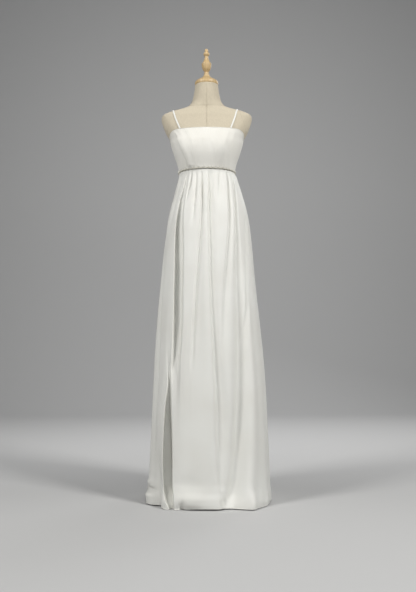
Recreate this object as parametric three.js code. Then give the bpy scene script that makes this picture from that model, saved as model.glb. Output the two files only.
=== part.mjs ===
// A floor-length empire-waist wedding dress with thin straps, worn by a limbless dress form on a stand.
// Millimetres, +Z up. The front faces -Y and the origin is on the floor, under the middle of the foot.
// Round every section the turn is 0 at the front centre, 90 at +X, 180 at the back centre.
import * as THREE from "three";

// Driving sizes of the dress.
const WALL = 1.6;
const SEAM_GAP = 0.4;
const EASE = 3.2;
const WAIST_Z = 1289;
const WAIST_FRONT_RISE = 6;
const NECKLINE_Z = 1463;
const NECKLINE_SAG = 3;
const ARMPIT_Z = 1426;
const BACK_NECK_Z = 1416;
const NECK_CORNER_TURN = 43;
const BACK_LEVEL_TURN = 147;
const SIDE_SEAM_TURN = 90;

// The bodice's pressed pleats: a ridge and a valley each.
const FRONT_PLEATS = 28;
const BACK_PLEATS = 13;
const PLEAT_HEIGHT = 1.5;
const BODICE_ROWS = 6;

// The straps.
const STRAP_WIDTH = 8;
const STRAP_THICK = 1.4;
const STRAP_LIFT = 1;
const STRAP_STEPS = 26;
const STRAP_END_GAP = 1.7;
const STRAP_AXIS_Y = 8;

// Each strap's side, the turns of its front and back ends, and how far out it crosses the shoulder.
const STRAPS = {
  right: { side: 1, frontTurn: 29, backTurn: 147, shoulder: 128 },
  left: { side: -1, frontTurn: 34, backTurn: 147, shoulder: 140 },
};

// The beaded braid over the waist seam.
const TRIM_HEIGHT = 9;
const TRIM_THICK = 2.6;
const TRIM_BEAD = 1.6;
const TRIM_BEADS = 48;
const TRIM_BACK_OPENING = 2.4;
const TRIM_LIFT = 2.1;

// The concealed zip in the centre back seam.
const ZIP_WIDTH = 4;
const ZIP_THICK = 1;
const ZIP_BOTTOM_Z = 1104;
const ZIP_STEPS = 12;

// The skirt.
const GATHERS = 36;
const GATHER_DEPTH = 5;
const GATHER_LENGTH = 110;
const FORM_CLEARANCE = 3;
const HEM_WAVE = 3;
const HEM_ROLL = 0.8;
const LIP_ROUND = 0.12;

// The stand and the turned wood.
const FOOT_RADIUS = 125;
const FOOT_THICK = 9;
const HUB_RADIUS = 26;
const HUB_HEIGHT = 48;
const POLE_RADIUS = 12.5;
const SOCKET_RADIUS = 34;
const SOCKET_HEIGHT = 14;
const TORSO_COLUMNS = 34;
const TURNED_SIDES = 20;

const DEGREES = Math.PI / 180;
const caster = new THREE.Raycaster();

// The dress form, from its flat underside to the top of the neck. half is the half width, front and back the
// depths from the pole's axis, power the squareness of the section, and cup how far each bust cup stands out.
const FORM_SECTIONS = [
  { z: 905, half: 139, front: 90, back: 102, power: 2.1, cup: 0 },
  { z: 913, half: 147, front: 96, back: 110, power: 2.1, cup: 0 },
  { z: 935, half: 152, front: 99, back: 115, power: 2.1, cup: 0 },
  { z: 975, half: 155, front: 102, back: 119, power: 2.1, cup: 0 },
  { z: 1020, half: 152, front: 103, back: 119, power: 2.1, cup: 0 },
  { z: 1070, half: 142, front: 102, back: 112, power: 2.1, cup: 0 },
  { z: 1120, half: 127, front: 97, back: 101, power: 2.1, cup: 0 },
  { z: 1170, half: 111, front: 90, back: 88, power: 2.1, cup: 0 },
  { z: 1215, half: 102, front: 86, back: 79, power: 2.1, cup: 0 },
  { z: 1255, half: 103, front: 88, back: 79, power: 2.1, cup: 0 },
  { z: 1290, half: 107, front: 92, back: 82, power: 2.1, cup: 1 },
  { z: 1312, half: 111.5, front: 97, back: 84, power: 2.15, cup: 4 },
  { z: 1336, half: 117.5, front: 104, back: 87, power: 2.2, cup: 9 },
  { z: 1361, half: 126.5, front: 110, back: 91, power: 2.25, cup: 13 },
  { z: 1386, half: 134.5, front: 112, back: 94, power: 2.3, cup: 14 },
  { z: 1410, half: 141.5, front: 110, back: 96, power: 2.35, cup: 11 },
  { z: 1427, half: 145.5, front: 105, back: 97, power: 2.4, cup: 6 },
  { z: 1445, half: 155.5, front: 98, back: 97, power: 2.5, cup: 2 },
  { z: 1462, half: 165, front: 90, back: 96, power: 2.6, cup: 0 },
  { z: 1480, half: 172.5, front: 82, back: 94, power: 2.7, cup: 0 },
  { z: 1498, half: 178.5, front: 75, back: 92, power: 2.7, cup: 0 },
  { z: 1513, half: 182.5, front: 69, back: 89, power: 2.7, cup: 0 },
  { z: 1526, half: 182, front: 65, back: 86, power: 2.7, cup: 0 },
  { z: 1535, half: 176, front: 61, back: 83, power: 2.6, cup: 0 },
  { z: 1544, half: 159, front: 57, back: 80, power: 2.5, cup: 0 },
  { z: 1552, half: 136, front: 54, back: 77, power: 2.3, cup: 0 },
  { z: 1560, half: 103, front: 52, back: 74, power: 2.2, cup: 0 },
  { z: 1570, half: 78, front: 50, back: 68, power: 2.1, cup: 0 },
  { z: 1588, half: 62, front: 50, back: 59, power: 2, cup: 0 },
  { z: 1616, half: 53, front: 51, back: 52, power: 2, cup: 0 },
  { z: 1660, half: 46.5, front: 50, back: 43, power: 2, cup: 0 },
];
const CUP_X = 70;
const CUP_SPREAD = 46;

// The skirt's outline over its fold ridges, from the waist seam to the hem.
const SKIRT_SECTIONS = [
  { z: 0, half: 249, front: 230, back: 240, power: 2.8, lean: 0 },
  { z: 30, half: 248.5, front: 226, back: 240, power: 2.75, lean: 0 },
  { z: 60, half: 244, front: 217, back: 233, power: 2.65, lean: 1 },
  { z: 95, half: 242, front: 210, back: 229, power: 2.5, lean: 2 },
  { z: 240, half: 235.5, front: 200, back: 221, power: 2.35, lean: 3 },
  { z: 390, half: 228.5, front: 192, back: 211, power: 2.25, lean: 4.5 },
  { z: 545, half: 219.5, front: 182, back: 199, power: 2.15, lean: 4.5 },
  { z: 700, half: 206.5, front: 171, back: 184, power: 2.1, lean: 3 },
  { z: 860, half: 190.5, front: 158, back: 167, power: 2.1, lean: 2.5 },
  { z: 980, half: 179, front: 147, back: 153, power: 2.1, lean: 4 },
  { z: 1055, half: 170, front: 139, back: 142, power: 2.1, lean: 5 },
  { z: 1105, half: 163, front: 132, back: 132, power: 2.1, lean: 5 },
  { z: 1152, half: 153.5, front: 125, back: 120, power: 2.1, lean: 5 },
  { z: 1192, half: 142.5, front: 116, back: 109, power: 2.1, lean: 5 },
  { z: 1232, half: 131.5, front: 107, back: 98, power: 2.1, lean: 5 },
  { z: 1262, half: 122.5, front: 101, back: 91, power: 2.1, lean: 4 },
  { z: 1280, half: 116.5, front: 97.5, back: 87.5, power: 2.1, lean: 3 },
  { z: 1289, half: 112, front: 95.5, back: 85.5, power: 2.1, lean: 1 },
  { z: 1296, half: 111, front: 95.5, back: 85.5, power: 2.1, lean: 0 },
];

// The creases of the skirt's front, each at heights of its own: turn, depth and spread in degrees. Above 0, skew
// widens the side towards -X and narrows the other. lip is how steep the sides are. ramp makes the +X side a
// straight slope with a sharp lip. The columns of points run along the creases marked guide.
const FRONT_CREASES = [
  {
    name: "upper trough", skew: -0.45, lip: 1.3, ramp: true, guide: true,
    z: [1282, 1240, 1182, 1112, 1012, 894, 777, 682, 606, 530, 455, 250, 20],
    turn: [-44.5, -45.5, -46, -44.5, -40.5, -38, -36, -35, -34.5, -33.5, -32, -29, -17],
    depth: [5, 10, 14, 18, 21, 23, 24, 22, 17, 9, 2, 0, 0],
    spread: [3, 4, 5, 6, 6.2, 5.6, 5.2, 4.8, 3.8, 2.6, 2, 3, 3],
  },
  {
    name: "lower fold", skew: -0.6, lip: 1.3, ramp: true, guide: true,
    z: [1282, 1012, 777, 606, 481, 417, 361, 287, 177, 87, 43, 16],
    turn: [-54, -50, -46, -43, -41, -41.8, -43.4, -43.6, -42.2, -39.8, -34.5, -29],
    depth: [0, 0, 0, 0, 5, 17, 27, 34, 38, 37, 30, 20],
    spread: [2, 2, 2, 2, 2.2, 3.4, 5, 6.2, 6.8, 6.8, 6, 5.5],
  },
  {
    name: "side line, upper", skew: 0, lip: 1, ramp: false, guide: false,
    z: [1285, 1225, 1168, 1107, 1040],
    turn: [-65.5, -64.5, -65.4, -65.3, -66],
    depth: [4, 6, 7, 4, 0],
    spread: [3.6, 3.8, 4.6, 5, 5],
  },
  {
    name: "side line, lower", skew: 0.2, lip: 1, ramp: false, guide: true,
    z: [1282, 1012, 902, 743, 606, 509, 413, 298, 166, 75, 20],
    turn: [-76, -74, -72.5, -68.7, -66.2, -64.4, -65, -66.2, -66.1, -64, -62],
    depth: [0, 0, 3, 7, 9, 10, 10, 9, 8, 7, 5],
    spread: [3, 3, 4, 4.2, 4.2, 4.4, 5.5, 6.5, 7, 6.5, 7],
  },
  {
    name: "third gather", skew: 0, lip: 1, ramp: false, guide: false,
    z: [1285, 1226, 1172, 1112, 1060],
    turn: [-21.6, -20.5, -20.2, -20.6, -21],
    depth: [3, 4.5, 5, 3, 0],
    spread: [1.5, 1.6, 1.9, 2.2, 2.4],
  },
  {
    name: "long left gather", skew: -0.15, lip: 1.1, ramp: false, guide: true,
    z: [1285, 1210, 1147, 1070, 1008, 920, 833, 738, 640, 568, 493, 250, 20],
    turn: [-11.6, -10, -8.9, -9.3, -10.3, -11.8, -12.8, -13.9, -15, -15.5, -15.4, -12, -6],
    depth: [4.5, 6.5, 7.5, 7, 7, 7, 7, 6.5, 5.5, 3.5, 0, 0, 0],
    spread: [1.7, 1.9, 2.1, 2, 2, 2, 1.9, 1.8, 1.7, 1.7, 1.5, 3, 3],
  },
  {
    name: "centre fold", skew: -0.5, lip: 1.1, ramp: false, guide: true,
    z: [1285, 1200, 1126, 1030, 929, 820, 718, 620, 530, 440, 345, 250, 162, 90, 20],
    turn: [2, 1.4, 1.4, 2, 2.8, 3.6, 4.4, 5.2, 5.9, 6.8, 7.6, 8, 8.2, 8, 8.2],
    depth: [4.5, 7, 9, 10, 10, 10, 10, 10, 9.5, 9, 8, 7, 5, 3, 4],
    spread: [2.2, 3, 3.6, 3.2, 3, 3.2, 3.4, 3.5, 3.7, 4, 4.4, 4.7, 5, 5, 4],
  },
  {
    name: "long right gather", skew: -0.1, lip: 1, ramp: false, guide: true,
    z: [1285, 1225, 1170, 1081, 1000, 911, 820, 737, 620, 511, 250, 20],
    turn: [41, 36.5, 33.3, 29.6, 26, 22.8, 19.8, 17.6, 14.6, 12.6, 12.4, 11.6],
    depth: [4, 6, 7, 7.5, 6.5, 6, 5.5, 4.5, 3, 0, 0, 0],
    spread: [1.8, 2, 2, 2.1, 2.5, 2.9, 3.3, 3.6, 3.8, 4, 4, 4],
  },
  {
    name: "right valley", skew: -0.25, lip: 1.1, ramp: false, guide: true,
    z: [1282, 1266, 1215, 1123, 1030, 932, 835, 738, 640, 548, 430, 324, 220, 124, 60, 18],
    turn: [57, 54.5, 50.2, 42.6, 39.8, 38, 37.4, 36.9, 36, 34.8, 32.6, 30.2, 27.4, 24, 20, 15.5],
    depth: [0, 3, 5.5, 7, 8, 9, 10, 11, 12, 12.5, 13, 14, 14, 12, 8, 5],
    spread: [2, 2.3, 2.5, 2.4, 3, 4.2, 5, 5.4, 5.2, 4.8, 4.2, 4, 4, 4.2, 4.2, 4.2],
  },
  {
    name: "far right line", skew: 0, lip: 1, ramp: false, guide: false,
    z: [1110, 1077, 996, 915, 837, 740, 643, 560, 472],
    turn: [63, 61.6, 58, 54.5, 51.1, 46, 41.2, 38, 34.6],
    depth: [0, 3, 6, 7, 7, 6, 4, 2, 0],
    spread: [2.8, 2.8, 2.8, 2.6, 2.4, 2.2, 2, 2, 2],
  },
  {
    name: "ridge left of the centre", skew: 0.2, lip: 1, ramp: false, guide: false,
    z: [1120, 1007, 891, 737, 586, 400, 200, 100],
    turn: [-3, -2.8, -2.8, -2.4, -1, -0.8, -0.5, -0.5],
    depth: [0, -3, -4.5, -4.5, -3.5, -2.5, -1.5, 0],
    spread: [3, 3.4, 3.8, 4.4, 5, 6, 7, 7],
  },
  {
    name: "hem recess, left", skew: 0, lip: 1, ramp: false, guide: false,
    z: [330, 200, 100, 40, 5],
    turn: [-58, -56, -54, -52, -50],
    depth: [0, 8, 18, 24, 26],
    spread: [9, 9, 9, 9, 9],
  },
  {
    name: "hem corner, right", skew: 0, lip: 1, ramp: false, guide: false,
    z: [260, 160, 80, 30, 5],
    turn: [32, 32, 32, 31.5, 31],
    depth: [0, -4, -9, -15, -17],
    spread: [7, 7, 7, 7, 7],
  },
];

// The folds of the sides and the back, each with its turn in degrees, its depth and its spread in degrees at
// the five heights, waist to hem.
const FOLD_HEIGHTS = [1262, 1010, 700, 420, 30];
const FOLDS = [
  {
    turns: [78, 80, 80, 79, 76], depths: [4, 5, 6, 8, 7],
    spreads: [5, 7, 8, 8, 10], lip: 1, guide: false,
  },
  {
    turns: [98, 99, 101, 103, 104], depths: [5, 7, 10, 14, 20],
    spreads: [5, 7, 8, 9, 10], lip: 1.6, guide: true,
  },
  {
    turns: [116, 120, 122, 124, 126], depths: [5, 9, 12, 13, 14],
    spreads: [5, 6, 7, 8, 9], lip: 1.2, guide: true,
  },
  {
    turns: [136, 139, 142, 144, 147], depths: [6, 12, 16, 20, 27],
    spreads: [5, 6, 7, 8, 8], lip: 2, guide: true,
  },
  {
    turns: [155, 157, 159, 161, 164], depths: [5, 10, 11, 12, 12],
    spreads: [4, 6, 7, 8, 9], lip: 1.2, guide: true,
  },
  {
    turns: [171, 172, 177, 181, 184], depths: [6, 11, 14, 17, 22],
    spreads: [4, 6, 7, 8, 8], lip: 1.6, guide: false,
  },
  {
    turns: [188, 190, 195, 199, 203], depths: [6, 11, 13, 14, 15],
    spreads: [4, 6, 7, 8, 9], lip: 1.2, guide: true,
  },
  {
    turns: [205, 209, 213, 217, 221], depths: [5, 12, 17, 21, 28],
    spreads: [5, 6, 7, 8, 8], lip: 2, guide: true,
  },
  {
    turns: [224, 229, 233, 236, 239], depths: [5, 9, 11, 12, 13],
    spreads: [5, 6, 7, 8, 9], lip: 1.2, guide: true,
  },
  {
    turns: [243, 248, 251, 253, 256], depths: [5, 8, 12, 15, 20],
    spreads: [5, 7, 8, 9, 9], lip: 1.6, guide: true,
  },
  {
    turns: [262, 267, 271, 274, 277], depths: [4, 5, 7, 8, 9],
    spreads: [5, 7, 8, 8, 9], lip: 1, guide: false,
  },
];
const SKIRT_ROWS = [
  0, 0.012, 0.035, 0.075, 0.145, 0.225, 0.3, 0.375, 0.455,
  0.54, 0.63, 0.72, 0.8, 0.865, 0.915, 0.952, 0.982, 1,
];

// Profiles of the turned wood, radius and height above the neck's top.
const CAP_PROFILE = [
  { radius: 44.5, height: 0 },
  { radius: 46.8, height: 2 },
  { radius: 47.6, height: 6 },
  { radius: 47.2, height: 11 },
  { radius: 45, height: 16 },
  { radius: 38, height: 21 },
  { radius: 27, height: 27.5 },
  { radius: 20, height: 32 },
  { radius: 15.5, height: 35 },
  { radius: 14, height: 40 },
];
const FINIAL_PROFILE = [
  { radius: 11, height: 40.3 },
  { radius: 10.4, height: 44 },
  { radius: 10, height: 52 },
  { radius: 7.8, height: 54.5 },
  { radius: 10.2, height: 59 },
  { radius: 15.6, height: 67 },
  { radius: 18.4, height: 77 },
  { radius: 20, height: 88 },
  { radius: 19, height: 91.5 },
  { radius: 14.6, height: 97.5 },
  { radius: 10.6, height: 105.5 },
  { radius: 8, height: 114 },
  { radius: 7.6, height: 121 },
  { radius: 11.2, height: 126 },
  { radius: 12.4, height: 131 },
  { radius: 10.6, height: 136.5 },
  { radius: 6.8, height: 139.5 },
  { radius: 7.6, height: 143.5 },
  { radius: 7.2, height: 149 },
  { radius: 3.8, height: 152.5 },
];

// Smooth value of a table's column at a height: a cubic through the rows with averaged slopes.
function columnAt(rows, key, at) {
  const last = rows.length - 1;
  let i = 0;
  while (i < last - 1 && at > rows[i + 1].z) i += 1;
  const slope = (k) => {
    const low = rows[Math.max(k - 1, 0)];
    const high = rows[Math.min(k + 1, last)];
    return (high[key] - low[key]) / (high.z - low.z);
  };
  const span = rows[i + 1].z - rows[i].z;
  const s = Math.min(Math.max((at - rows[i].z) / span, 0), 1);
  const s2 = s * s;
  const s3 = s2 * s;
  return (
    (2 * s3 - 3 * s2 + 1) * rows[i][key] +
    (s3 - 2 * s2 + s) * span * slope(i) +
    (3 * s2 - 2 * s3) * rows[i + 1][key] +
    (s3 - s2) * span * slope(i + 1)
  );
}

function sectionAt(rows, z) {
  const section = {};
  for (const key of Object.keys(rows[0])) section[key] = key === "z" ? z : columnAt(rows, key, z);
  return section;
}

function smoothStep(low, high, value) {
  const s = Math.min(Math.max((value - low) / (high - low), 0), 1);
  return s * s * (3 - 2 * s);
}

// A point of a rounded section: an ellipse of its own front and back depths, squared a little by power.
function sectionPoint(section, turn) {
  const sine = Math.sin(turn * DEGREES);
  const cosine = Math.cos(turn * DEGREES);
  const across = Math.sign(sine) * Math.abs(sine) ** (2 / section.power);
  const along = Math.abs(cosine) ** (2 / section.power);
  const depth = cosine > 0 ? -section.front : section.back;
  return new THREE.Vector3(section.half * across, depth * along, section.z);
}

// The dress form's surface, with its two bust cups.
function formPoint(turn, z) {
  const section = sectionAt(FORM_SECTIONS, z);
  const point = sectionPoint(section, turn);
  const facing = Math.max(Math.cos(turn * DEGREES), 0);
  const cups = [-CUP_X, CUP_X].map((x) => Math.exp(-(((point.x - x) / CUP_SPREAD) ** 2)));
  point.y -= section.cup * facing * (cups[0] + cups[1]);
  return point;
}

// The form's distance from the pole's axis in the direction of a point, without the cups.
function formReach(point) {
  const section = sectionAt(FORM_SECTIONS, Math.max(point.z, FORM_SECTIONS[0].z));
  const length = Math.hypot(point.x, point.y);
  const depth = point.y < 0 ? section.front : section.back;
  const across = Math.abs(point.x / length / section.half) ** section.power;
  const along = Math.abs(point.y / length / depth) ** section.power;
  return (across + along) ** (-1 / section.power);
}

// The bodice's smooth outside: the form's surface moved out in plan by the ease.
function bodicePoint(turn, z, out = 0) {
  const step = 1;
  const tangent = formPoint(turn + step, z).sub(formPoint(turn - step, z)).normalize();
  const outward = new THREE.Vector3(tangent.y, -tangent.x, 0);
  return formPoint(turn, z).addScaledVector(outward, EASE + out);
}

// Heights of the waist seam, the bodice's top edge and the hem, by turn.
function waistHeight(turn) {
  return WAIST_Z + WAIST_FRONT_RISE * (0.5 + 0.5 * Math.cos(turn * DEGREES));
}

function topEdgeHeight(turn) {
  const side = Math.abs(((turn + 180) % 360) - 180);
  if (side > SIDE_SEAM_TURN) {
    return BACK_NECK_Z + (ARMPIT_Z - BACK_NECK_Z) * (1 - smoothStep(SIDE_SEAM_TURN, BACK_LEVEL_TURN, side));
  }
  const front = NECKLINE_Z - NECKLINE_SAG * smoothStep(0, NECK_CORNER_TURN, side);
  const fall = (at) => smoothStep(NECK_CORNER_TURN - 6, SIDE_SEAM_TURN + 14, at);
  return front + ((ARMPIT_Z - front) * fall(side)) / fall(SIDE_SEAM_TURN);
}

function hemHeight(turn) {
  const wave = 0.6 * Math.sin(5 * turn * DEGREES + 1) + 0.4 * Math.sin(9 * turn * DEGREES + 2.4);
  return HEM_WAVE * (1 + wave);
}

// The columns of points round each skirt panel at mid height, close together over the left folds.
const SKIRT_COLUMNS = {
  front: [
    { from: -90, to: -50, steps: 9 },
    { from: -50, to: -44.6, steps: 3 },
    { from: -44.6, to: -41.4, steps: 3 },
    { from: -41.4, to: -35.2, steps: 3 },
    { from: -35.2, to: -28.1, steps: 4 },
    { from: -28.1, to: 22, steps: 23 },
    { from: 22, to: 90, steps: 16 },
  ],
  backRight: [{ from: 90, to: 180, steps: 26 }],
  backLeft: [{ from: 180, to: 270, steps: 26 }],
};

// A value of a fold or a crease between its heights, which go down.
function valueBetween(heights, values, z) {
  const rows = heights.map((height, k) => ({ z: height, value: values[k] })).reverse();
  return columnAt(rows, "value", Math.min(Math.max(z, heights.at(-1)), heights[0]));
}

// How far the front's creases draw the skirt in.
function creaseDepth(turn, z) {
  let depth = 0;
  for (const crease of FRONT_CREASES) {
    const side = ((turn - valueBetween(crease.z, crease.turn, z) + 540) % 360) - 180;
    const width = side < 0 ? 1 + crease.skew : 1 - crease.skew;
    const away = Math.abs(side) / (valueBetween(crease.z, crease.spread, z) * width);
    const slope = (1 - away + Math.hypot(1 - away, LIP_ROUND)) / (1 + Math.hypot(1, LIP_ROUND));
    const shape = crease.ramp && side > 0 ? slope : Math.exp(-(away ** (2 * crease.lip)));
    depth += valueBetween(crease.z, crease.depth, z) * shape;
  }
  return depth * (1 - smoothStep(WAIST_Z - 14, WAIST_Z + 4, z));
}

// How far the folds of the sides and the back draw the skirt in.
function foldDepth(turn, z) {
  const opening = 1 - smoothStep(FOLD_HEIGHTS[0] - 20, WAIST_Z, z);
  let depth = 0;
  for (const fold of FOLDS) {
    const spread = valueBetween(FOLD_HEIGHTS, fold.spreads, z);
    const away = Math.abs(((turn - valueBetween(FOLD_HEIGHTS, fold.turns, z) + 540) % 360) - 180) / spread;
    depth += Math.max(valueBetween(FOLD_HEIGHTS, fold.depths, z), 0) * Math.exp(-(away ** (2 * fold.lip)));
  }
  return opening * depth;
}

// How far the gathers under the seam draw the skirt in. They are low where the front has creases of its own.
function gatherDepth(turn, z) {
  const below = (WAIST_Z - z) / GATHER_LENGTH;
  const gathers = Math.max(4 * below * Math.exp(-3.4 * below), 0);
  const ripple = 0.5 + 0.5 * Math.cos(GATHERS * turn * DEGREES + 1.3 * Math.sin(3 * turn * DEGREES));
  const fromFront = Math.abs(((turn + 540) % 360) - 180);
  const own = 1 - 0.8 * (1 - smoothStep(48, 62, fromFront));
  return GATHER_DEPTH * gathers * ripple * own;
}

// The turn at a height of a column that has the given turn at mid height: the columns are spread evenly
// between the guide folds, the lips of the sharp ones and the seams.
function columnTurn(column, z) {
  const middle = FOLD_HEIGHTS[2];
  const guides = FOLDS.filter((fold) => fold.guide).map((fold) => ({
    at: valueBetween(FOLD_HEIGHTS, fold.turns, middle),
    turn: valueBetween(FOLD_HEIGHTS, fold.turns, z),
  }));
  const deepest = (crease, at) => valueBetween(crease.z, crease.turn, at);
  const width = (crease, at) => valueBetween(crease.z, crease.spread, at) * (1 - crease.skew);
  const lip = (crease, at) => deepest(crease, at) + width(crease, at);
  const lines = [
    ...FRONT_CREASES.filter((crease) => crease.guide).map((crease) => (at) => deepest(crease, at)),
    ...FRONT_CREASES.filter((crease) => crease.ramp).map((crease) => (at) => lip(crease, at)),
  ];
  const creases = lines.map((line) => ({ at: line(middle), turn: line(z) }));
  const seams = [-90, 90, 180, 270].map((turn) => ({ at: turn, turn }));
  const knots = [...guides, ...creases, ...seams].sort((a, b) => a.at - b.at);
  const beyond = knots.findIndex((knot) => knot.at > column);
  const next = beyond < 0 ? knots.length - 1 : Math.max(beyond, 1);
  const low = knots[next - 1];
  const high = knots[next];
  return low.turn + ((high.turn - low.turn) * (column - low.at)) / (high.at - low.at);
}

// The skirt's outside, kept clear of the form's hips. lean is how far its middle hangs towards +X.
function skirtPoint(turn, z) {
  const section = sectionAt(SKIRT_SECTIONS, z);
  const point = sectionPoint(section, turn);
  point.x += section.lean;
  const reach = Math.hypot(point.x, point.y);
  const wanted = reach - foldDepth(turn, z) - creaseDepth(turn, z) - gatherDepth(turn, z);
  const least = z > FORM_SECTIONS[0].z - 20 ? formReach(point) + FORM_CLEARANCE : 0;
  const blend = 4;
  const kept = least ? (wanted + least + Math.hypot(wanted - least, blend)) / 2 : wanted;
  return point.multiply(new THREE.Vector3(kept / reach, kept / reach, 1));
}

// A grid over a surface and the surface's normal at each of its points, rows up and columns round. At a seam
// the first and last columns sit half the seam gap in from the seam's own turn, so both panels share a shape.
function surfaceGrid(surface, turns, shares, lowerEdge, upperEdge) {
  const step = (turns.at(-1) - turns[0]) / (turns.length - 1);
  const spots = [turns[0] - step, ...turns, turns.at(-1) + step];
  const heightAt = (turn, share) => lowerEdge(turn) + share * (upperEdge(turn) - lowerEdge(turn));
  const wide = shares.map((share) => spots.map((turn) => surface(turn, heightAt(turn, share))));
  const points = [];
  const normals = [];
  wide.forEach((row, i) => {
    const below = wide[Math.max(i - 1, 0)];
    const above = wide[Math.min(i + 1, wide.length - 1)];
    const tangents = turns.map((_, j) => row[j + 2].clone().sub(row[j]).normalize());
    points.push(
      turns.map((_, j) => {
        const side = j === 0 ? 1 : j === turns.length - 1 ? -1 : 0;
        return row[j + 1].clone().addScaledVector(tangents[j], (side * SEAM_GAP) / 2);
      }),
    );
    const rises = turns.map((_, j) => above[j + 1].clone().sub(below[j + 1]));
    normals.push(tangents.map((tangent, j) => tangent.clone().cross(rises[j]).normalize()));
  });
  return { points, normals };
}

function movedOut(grid, distance) {
  const moved = (point, i, j) => point.clone().addScaledVector(grid.normals[i][j], distance);
  return grid.points.map((row, i) => row.map((point, j) => moved(point, i, j)));
}

// A closed wall between two grids of points. Rows go up, columns go round with the turn.
function wallGeometry(outer, inner) {
  const rows = outer.length;
  const columns = outer[0].length;
  const index = [];
  const out = (i, j) => i * columns + j;
  const back = (i, j) => rows * columns + i * columns + j;
  const quad = (a, b, c, d) => index.push(a, b, c, a, c, d);
  for (let i = 0; i < rows - 1; i += 1) {
    for (let j = 0; j < columns - 1; j += 1) {
      quad(out(i, j), out(i, j + 1), out(i + 1, j + 1), out(i + 1, j));
      quad(back(i, j + 1), back(i, j), back(i + 1, j), back(i + 1, j + 1));
    }
    quad(back(i, 0), out(i, 0), out(i + 1, 0), back(i + 1, 0));
    quad(out(i, columns - 1), back(i, columns - 1), back(i + 1, columns - 1), out(i + 1, columns - 1));
  }
  for (let j = 0; j < columns - 1; j += 1) {
    quad(back(0, j), back(0, j + 1), out(0, j + 1), out(0, j));
    quad(out(rows - 1, j), out(rows - 1, j + 1), back(rows - 1, j + 1), back(rows - 1, j));
  }
  return bufferFrom([...outer.flat(), ...inner.flat()], index);
}

// A closed solid through rings of points, going up, with flat ends.
function loftGeometry(rings) {
  const columns = rings[0].length;
  const index = [];
  for (let i = 0; i < rings.length - 1; i += 1) {
    for (let j = 0; j < columns; j += 1) {
      const a = i * columns + j;
      const b = i * columns + ((j + 1) % columns);
      index.push(a, b, b + columns, a, b + columns, a + columns);
    }
  }
  const points = rings.flat();
  for (const [ring, first, order] of [[rings[0], 0, 1], [rings.at(-1), (rings.length - 1) * columns, -1]]) {
    const middle = ring.reduce((sum, p) => sum.add(p), new THREE.Vector3()).divideScalar(columns);
    points.push(middle);
    for (let j = 0; j < columns; j += 1) {
      const edge = [first + ((j + 1) % columns), first + j];
      index.push(...(order > 0 ? edge : edge.reverse()), points.length - 1);
    }
  }
  return bufferFrom(points, index);
}

function bufferFrom(points, index) {
  const geometry = new THREE.BufferGeometry().setFromPoints(points);
  geometry.setIndex(index);
  geometry.computeVertexNormals();
  return geometry;
}

function evenSteps(from, to, count) {
  return Array.from({ length: count + 1 }, (_, k) => from + ((to - from) * k) / count);
}

// One pleated bodice panel. The pleats are raised in the outer points over a plain inside.
function bodicePanel(from, to, pleats) {
  const turns = evenSteps(from, to, 2 * pleats);
  const shares = evenSteps(0, 1, BODICE_ROWS);
  const bottom = (turn) => waistHeight(turn) + SEAM_GAP / 2;
  const smooth = surfaceGrid(bodicePoint, turns, shares, bottom, topEdgeHeight);
  const ridge = (j) => (j % 2 ? PLEAT_HEIGHT * (0.85 + 0.15 * Math.sin(j * 2.3)) : 0);
  const outer = smooth.points.map((row, i) => {
    const fade = i === 0 || i === BODICE_ROWS ? 0.5 : 1;
    const level = (j) => smooth.normals[i][j].clone().setZ(0).normalize();
    return row.map((point, j) => point.clone().addScaledVector(level(j), ridge(j) * fade));
  });
  const inner = movedOut(smooth, -WALL);
  levelEdge(inner, smooth.points, 0);
  levelEdge(inner, smooth.points, BODICE_ROWS);
  return wallGeometry(outer, inner);
}

// One skirt panel, with the rolled hem as a slight thickening of the lowest row.
function skirtPanel(columns) {
  const turns = columns.flatMap(({ from, to, steps }, k) => evenSteps(from, to, steps).slice(k ? 1 : 0));
  const top = (column) => waistHeight(columnTurn(column, WAIST_Z)) - SEAM_GAP / 2;
  const bottom = (column) => hemHeight(columnTurn(column, 0));
  const surface = (column, z) => skirtPoint(columnTurn(column, z), z);
  const grid = surfaceGrid(surface, turns, SKIRT_ROWS, bottom, top);
  const outer = grid.points;
  const inner = movedOut(grid, -WALL);
  outer[0] = movedOut(grid, HEM_ROLL)[0].map((point, j) => point.setZ(outer[0][j].z));
  levelEdge(inner, outer, 0);
  levelEdge(inner, outer, SKIRT_ROWS.length - 1);
  return wallGeometry(outer, inner);
}

// Gives a row of inner points the heights of the outer row, so that an edge is square across the wall.
function levelEdge(inner, outer, row) {
  inner[row].forEach((point, j) => point.setZ(outer[row][j].z));
}

// The dress form's torso and neck.
function torsoGeometry() {
  const turns = evenSteps(0, 360, TORSO_COLUMNS).slice(0, -1);
  return loftGeometry(FORM_SECTIONS.map(({ z }) => turns.map((turn) => formPoint(turn, z))));
}

// The beaded braid: a band just above the seam whose outside bulges once for each bead.
function trimGeometry() {
  const turns = evenSteps(-180 + TRIM_BACK_OPENING, 180 - TRIM_BACK_OPENING, 2 * TRIM_BEADS);
  const rows = [
    { share: 0, bulge: 0.4 },
    { share: 0.5, bulge: 1 },
    { share: 1, bulge: 0.4 },
  ];
  const heightAt = (turn, share) => waistHeight(turn) + SEAM_GAP + share * TRIM_HEIGHT;
  const ring = (share, out) =>
    turns.map((turn, j) => bodicePoint(turn, heightAt(turn, share), TRIM_LIFT + out(j)));
  const bead = (j) => TRIM_THICK + (j % 2 ? TRIM_BEAD : 0);
  const outer = rows.map(({ share, bulge }) => ring(share, (j) => bulge * bead(j)));
  const inner = rows.map(({ share }) => ring(share, () => 0));
  return wallGeometry(outer, inner);
}

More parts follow.
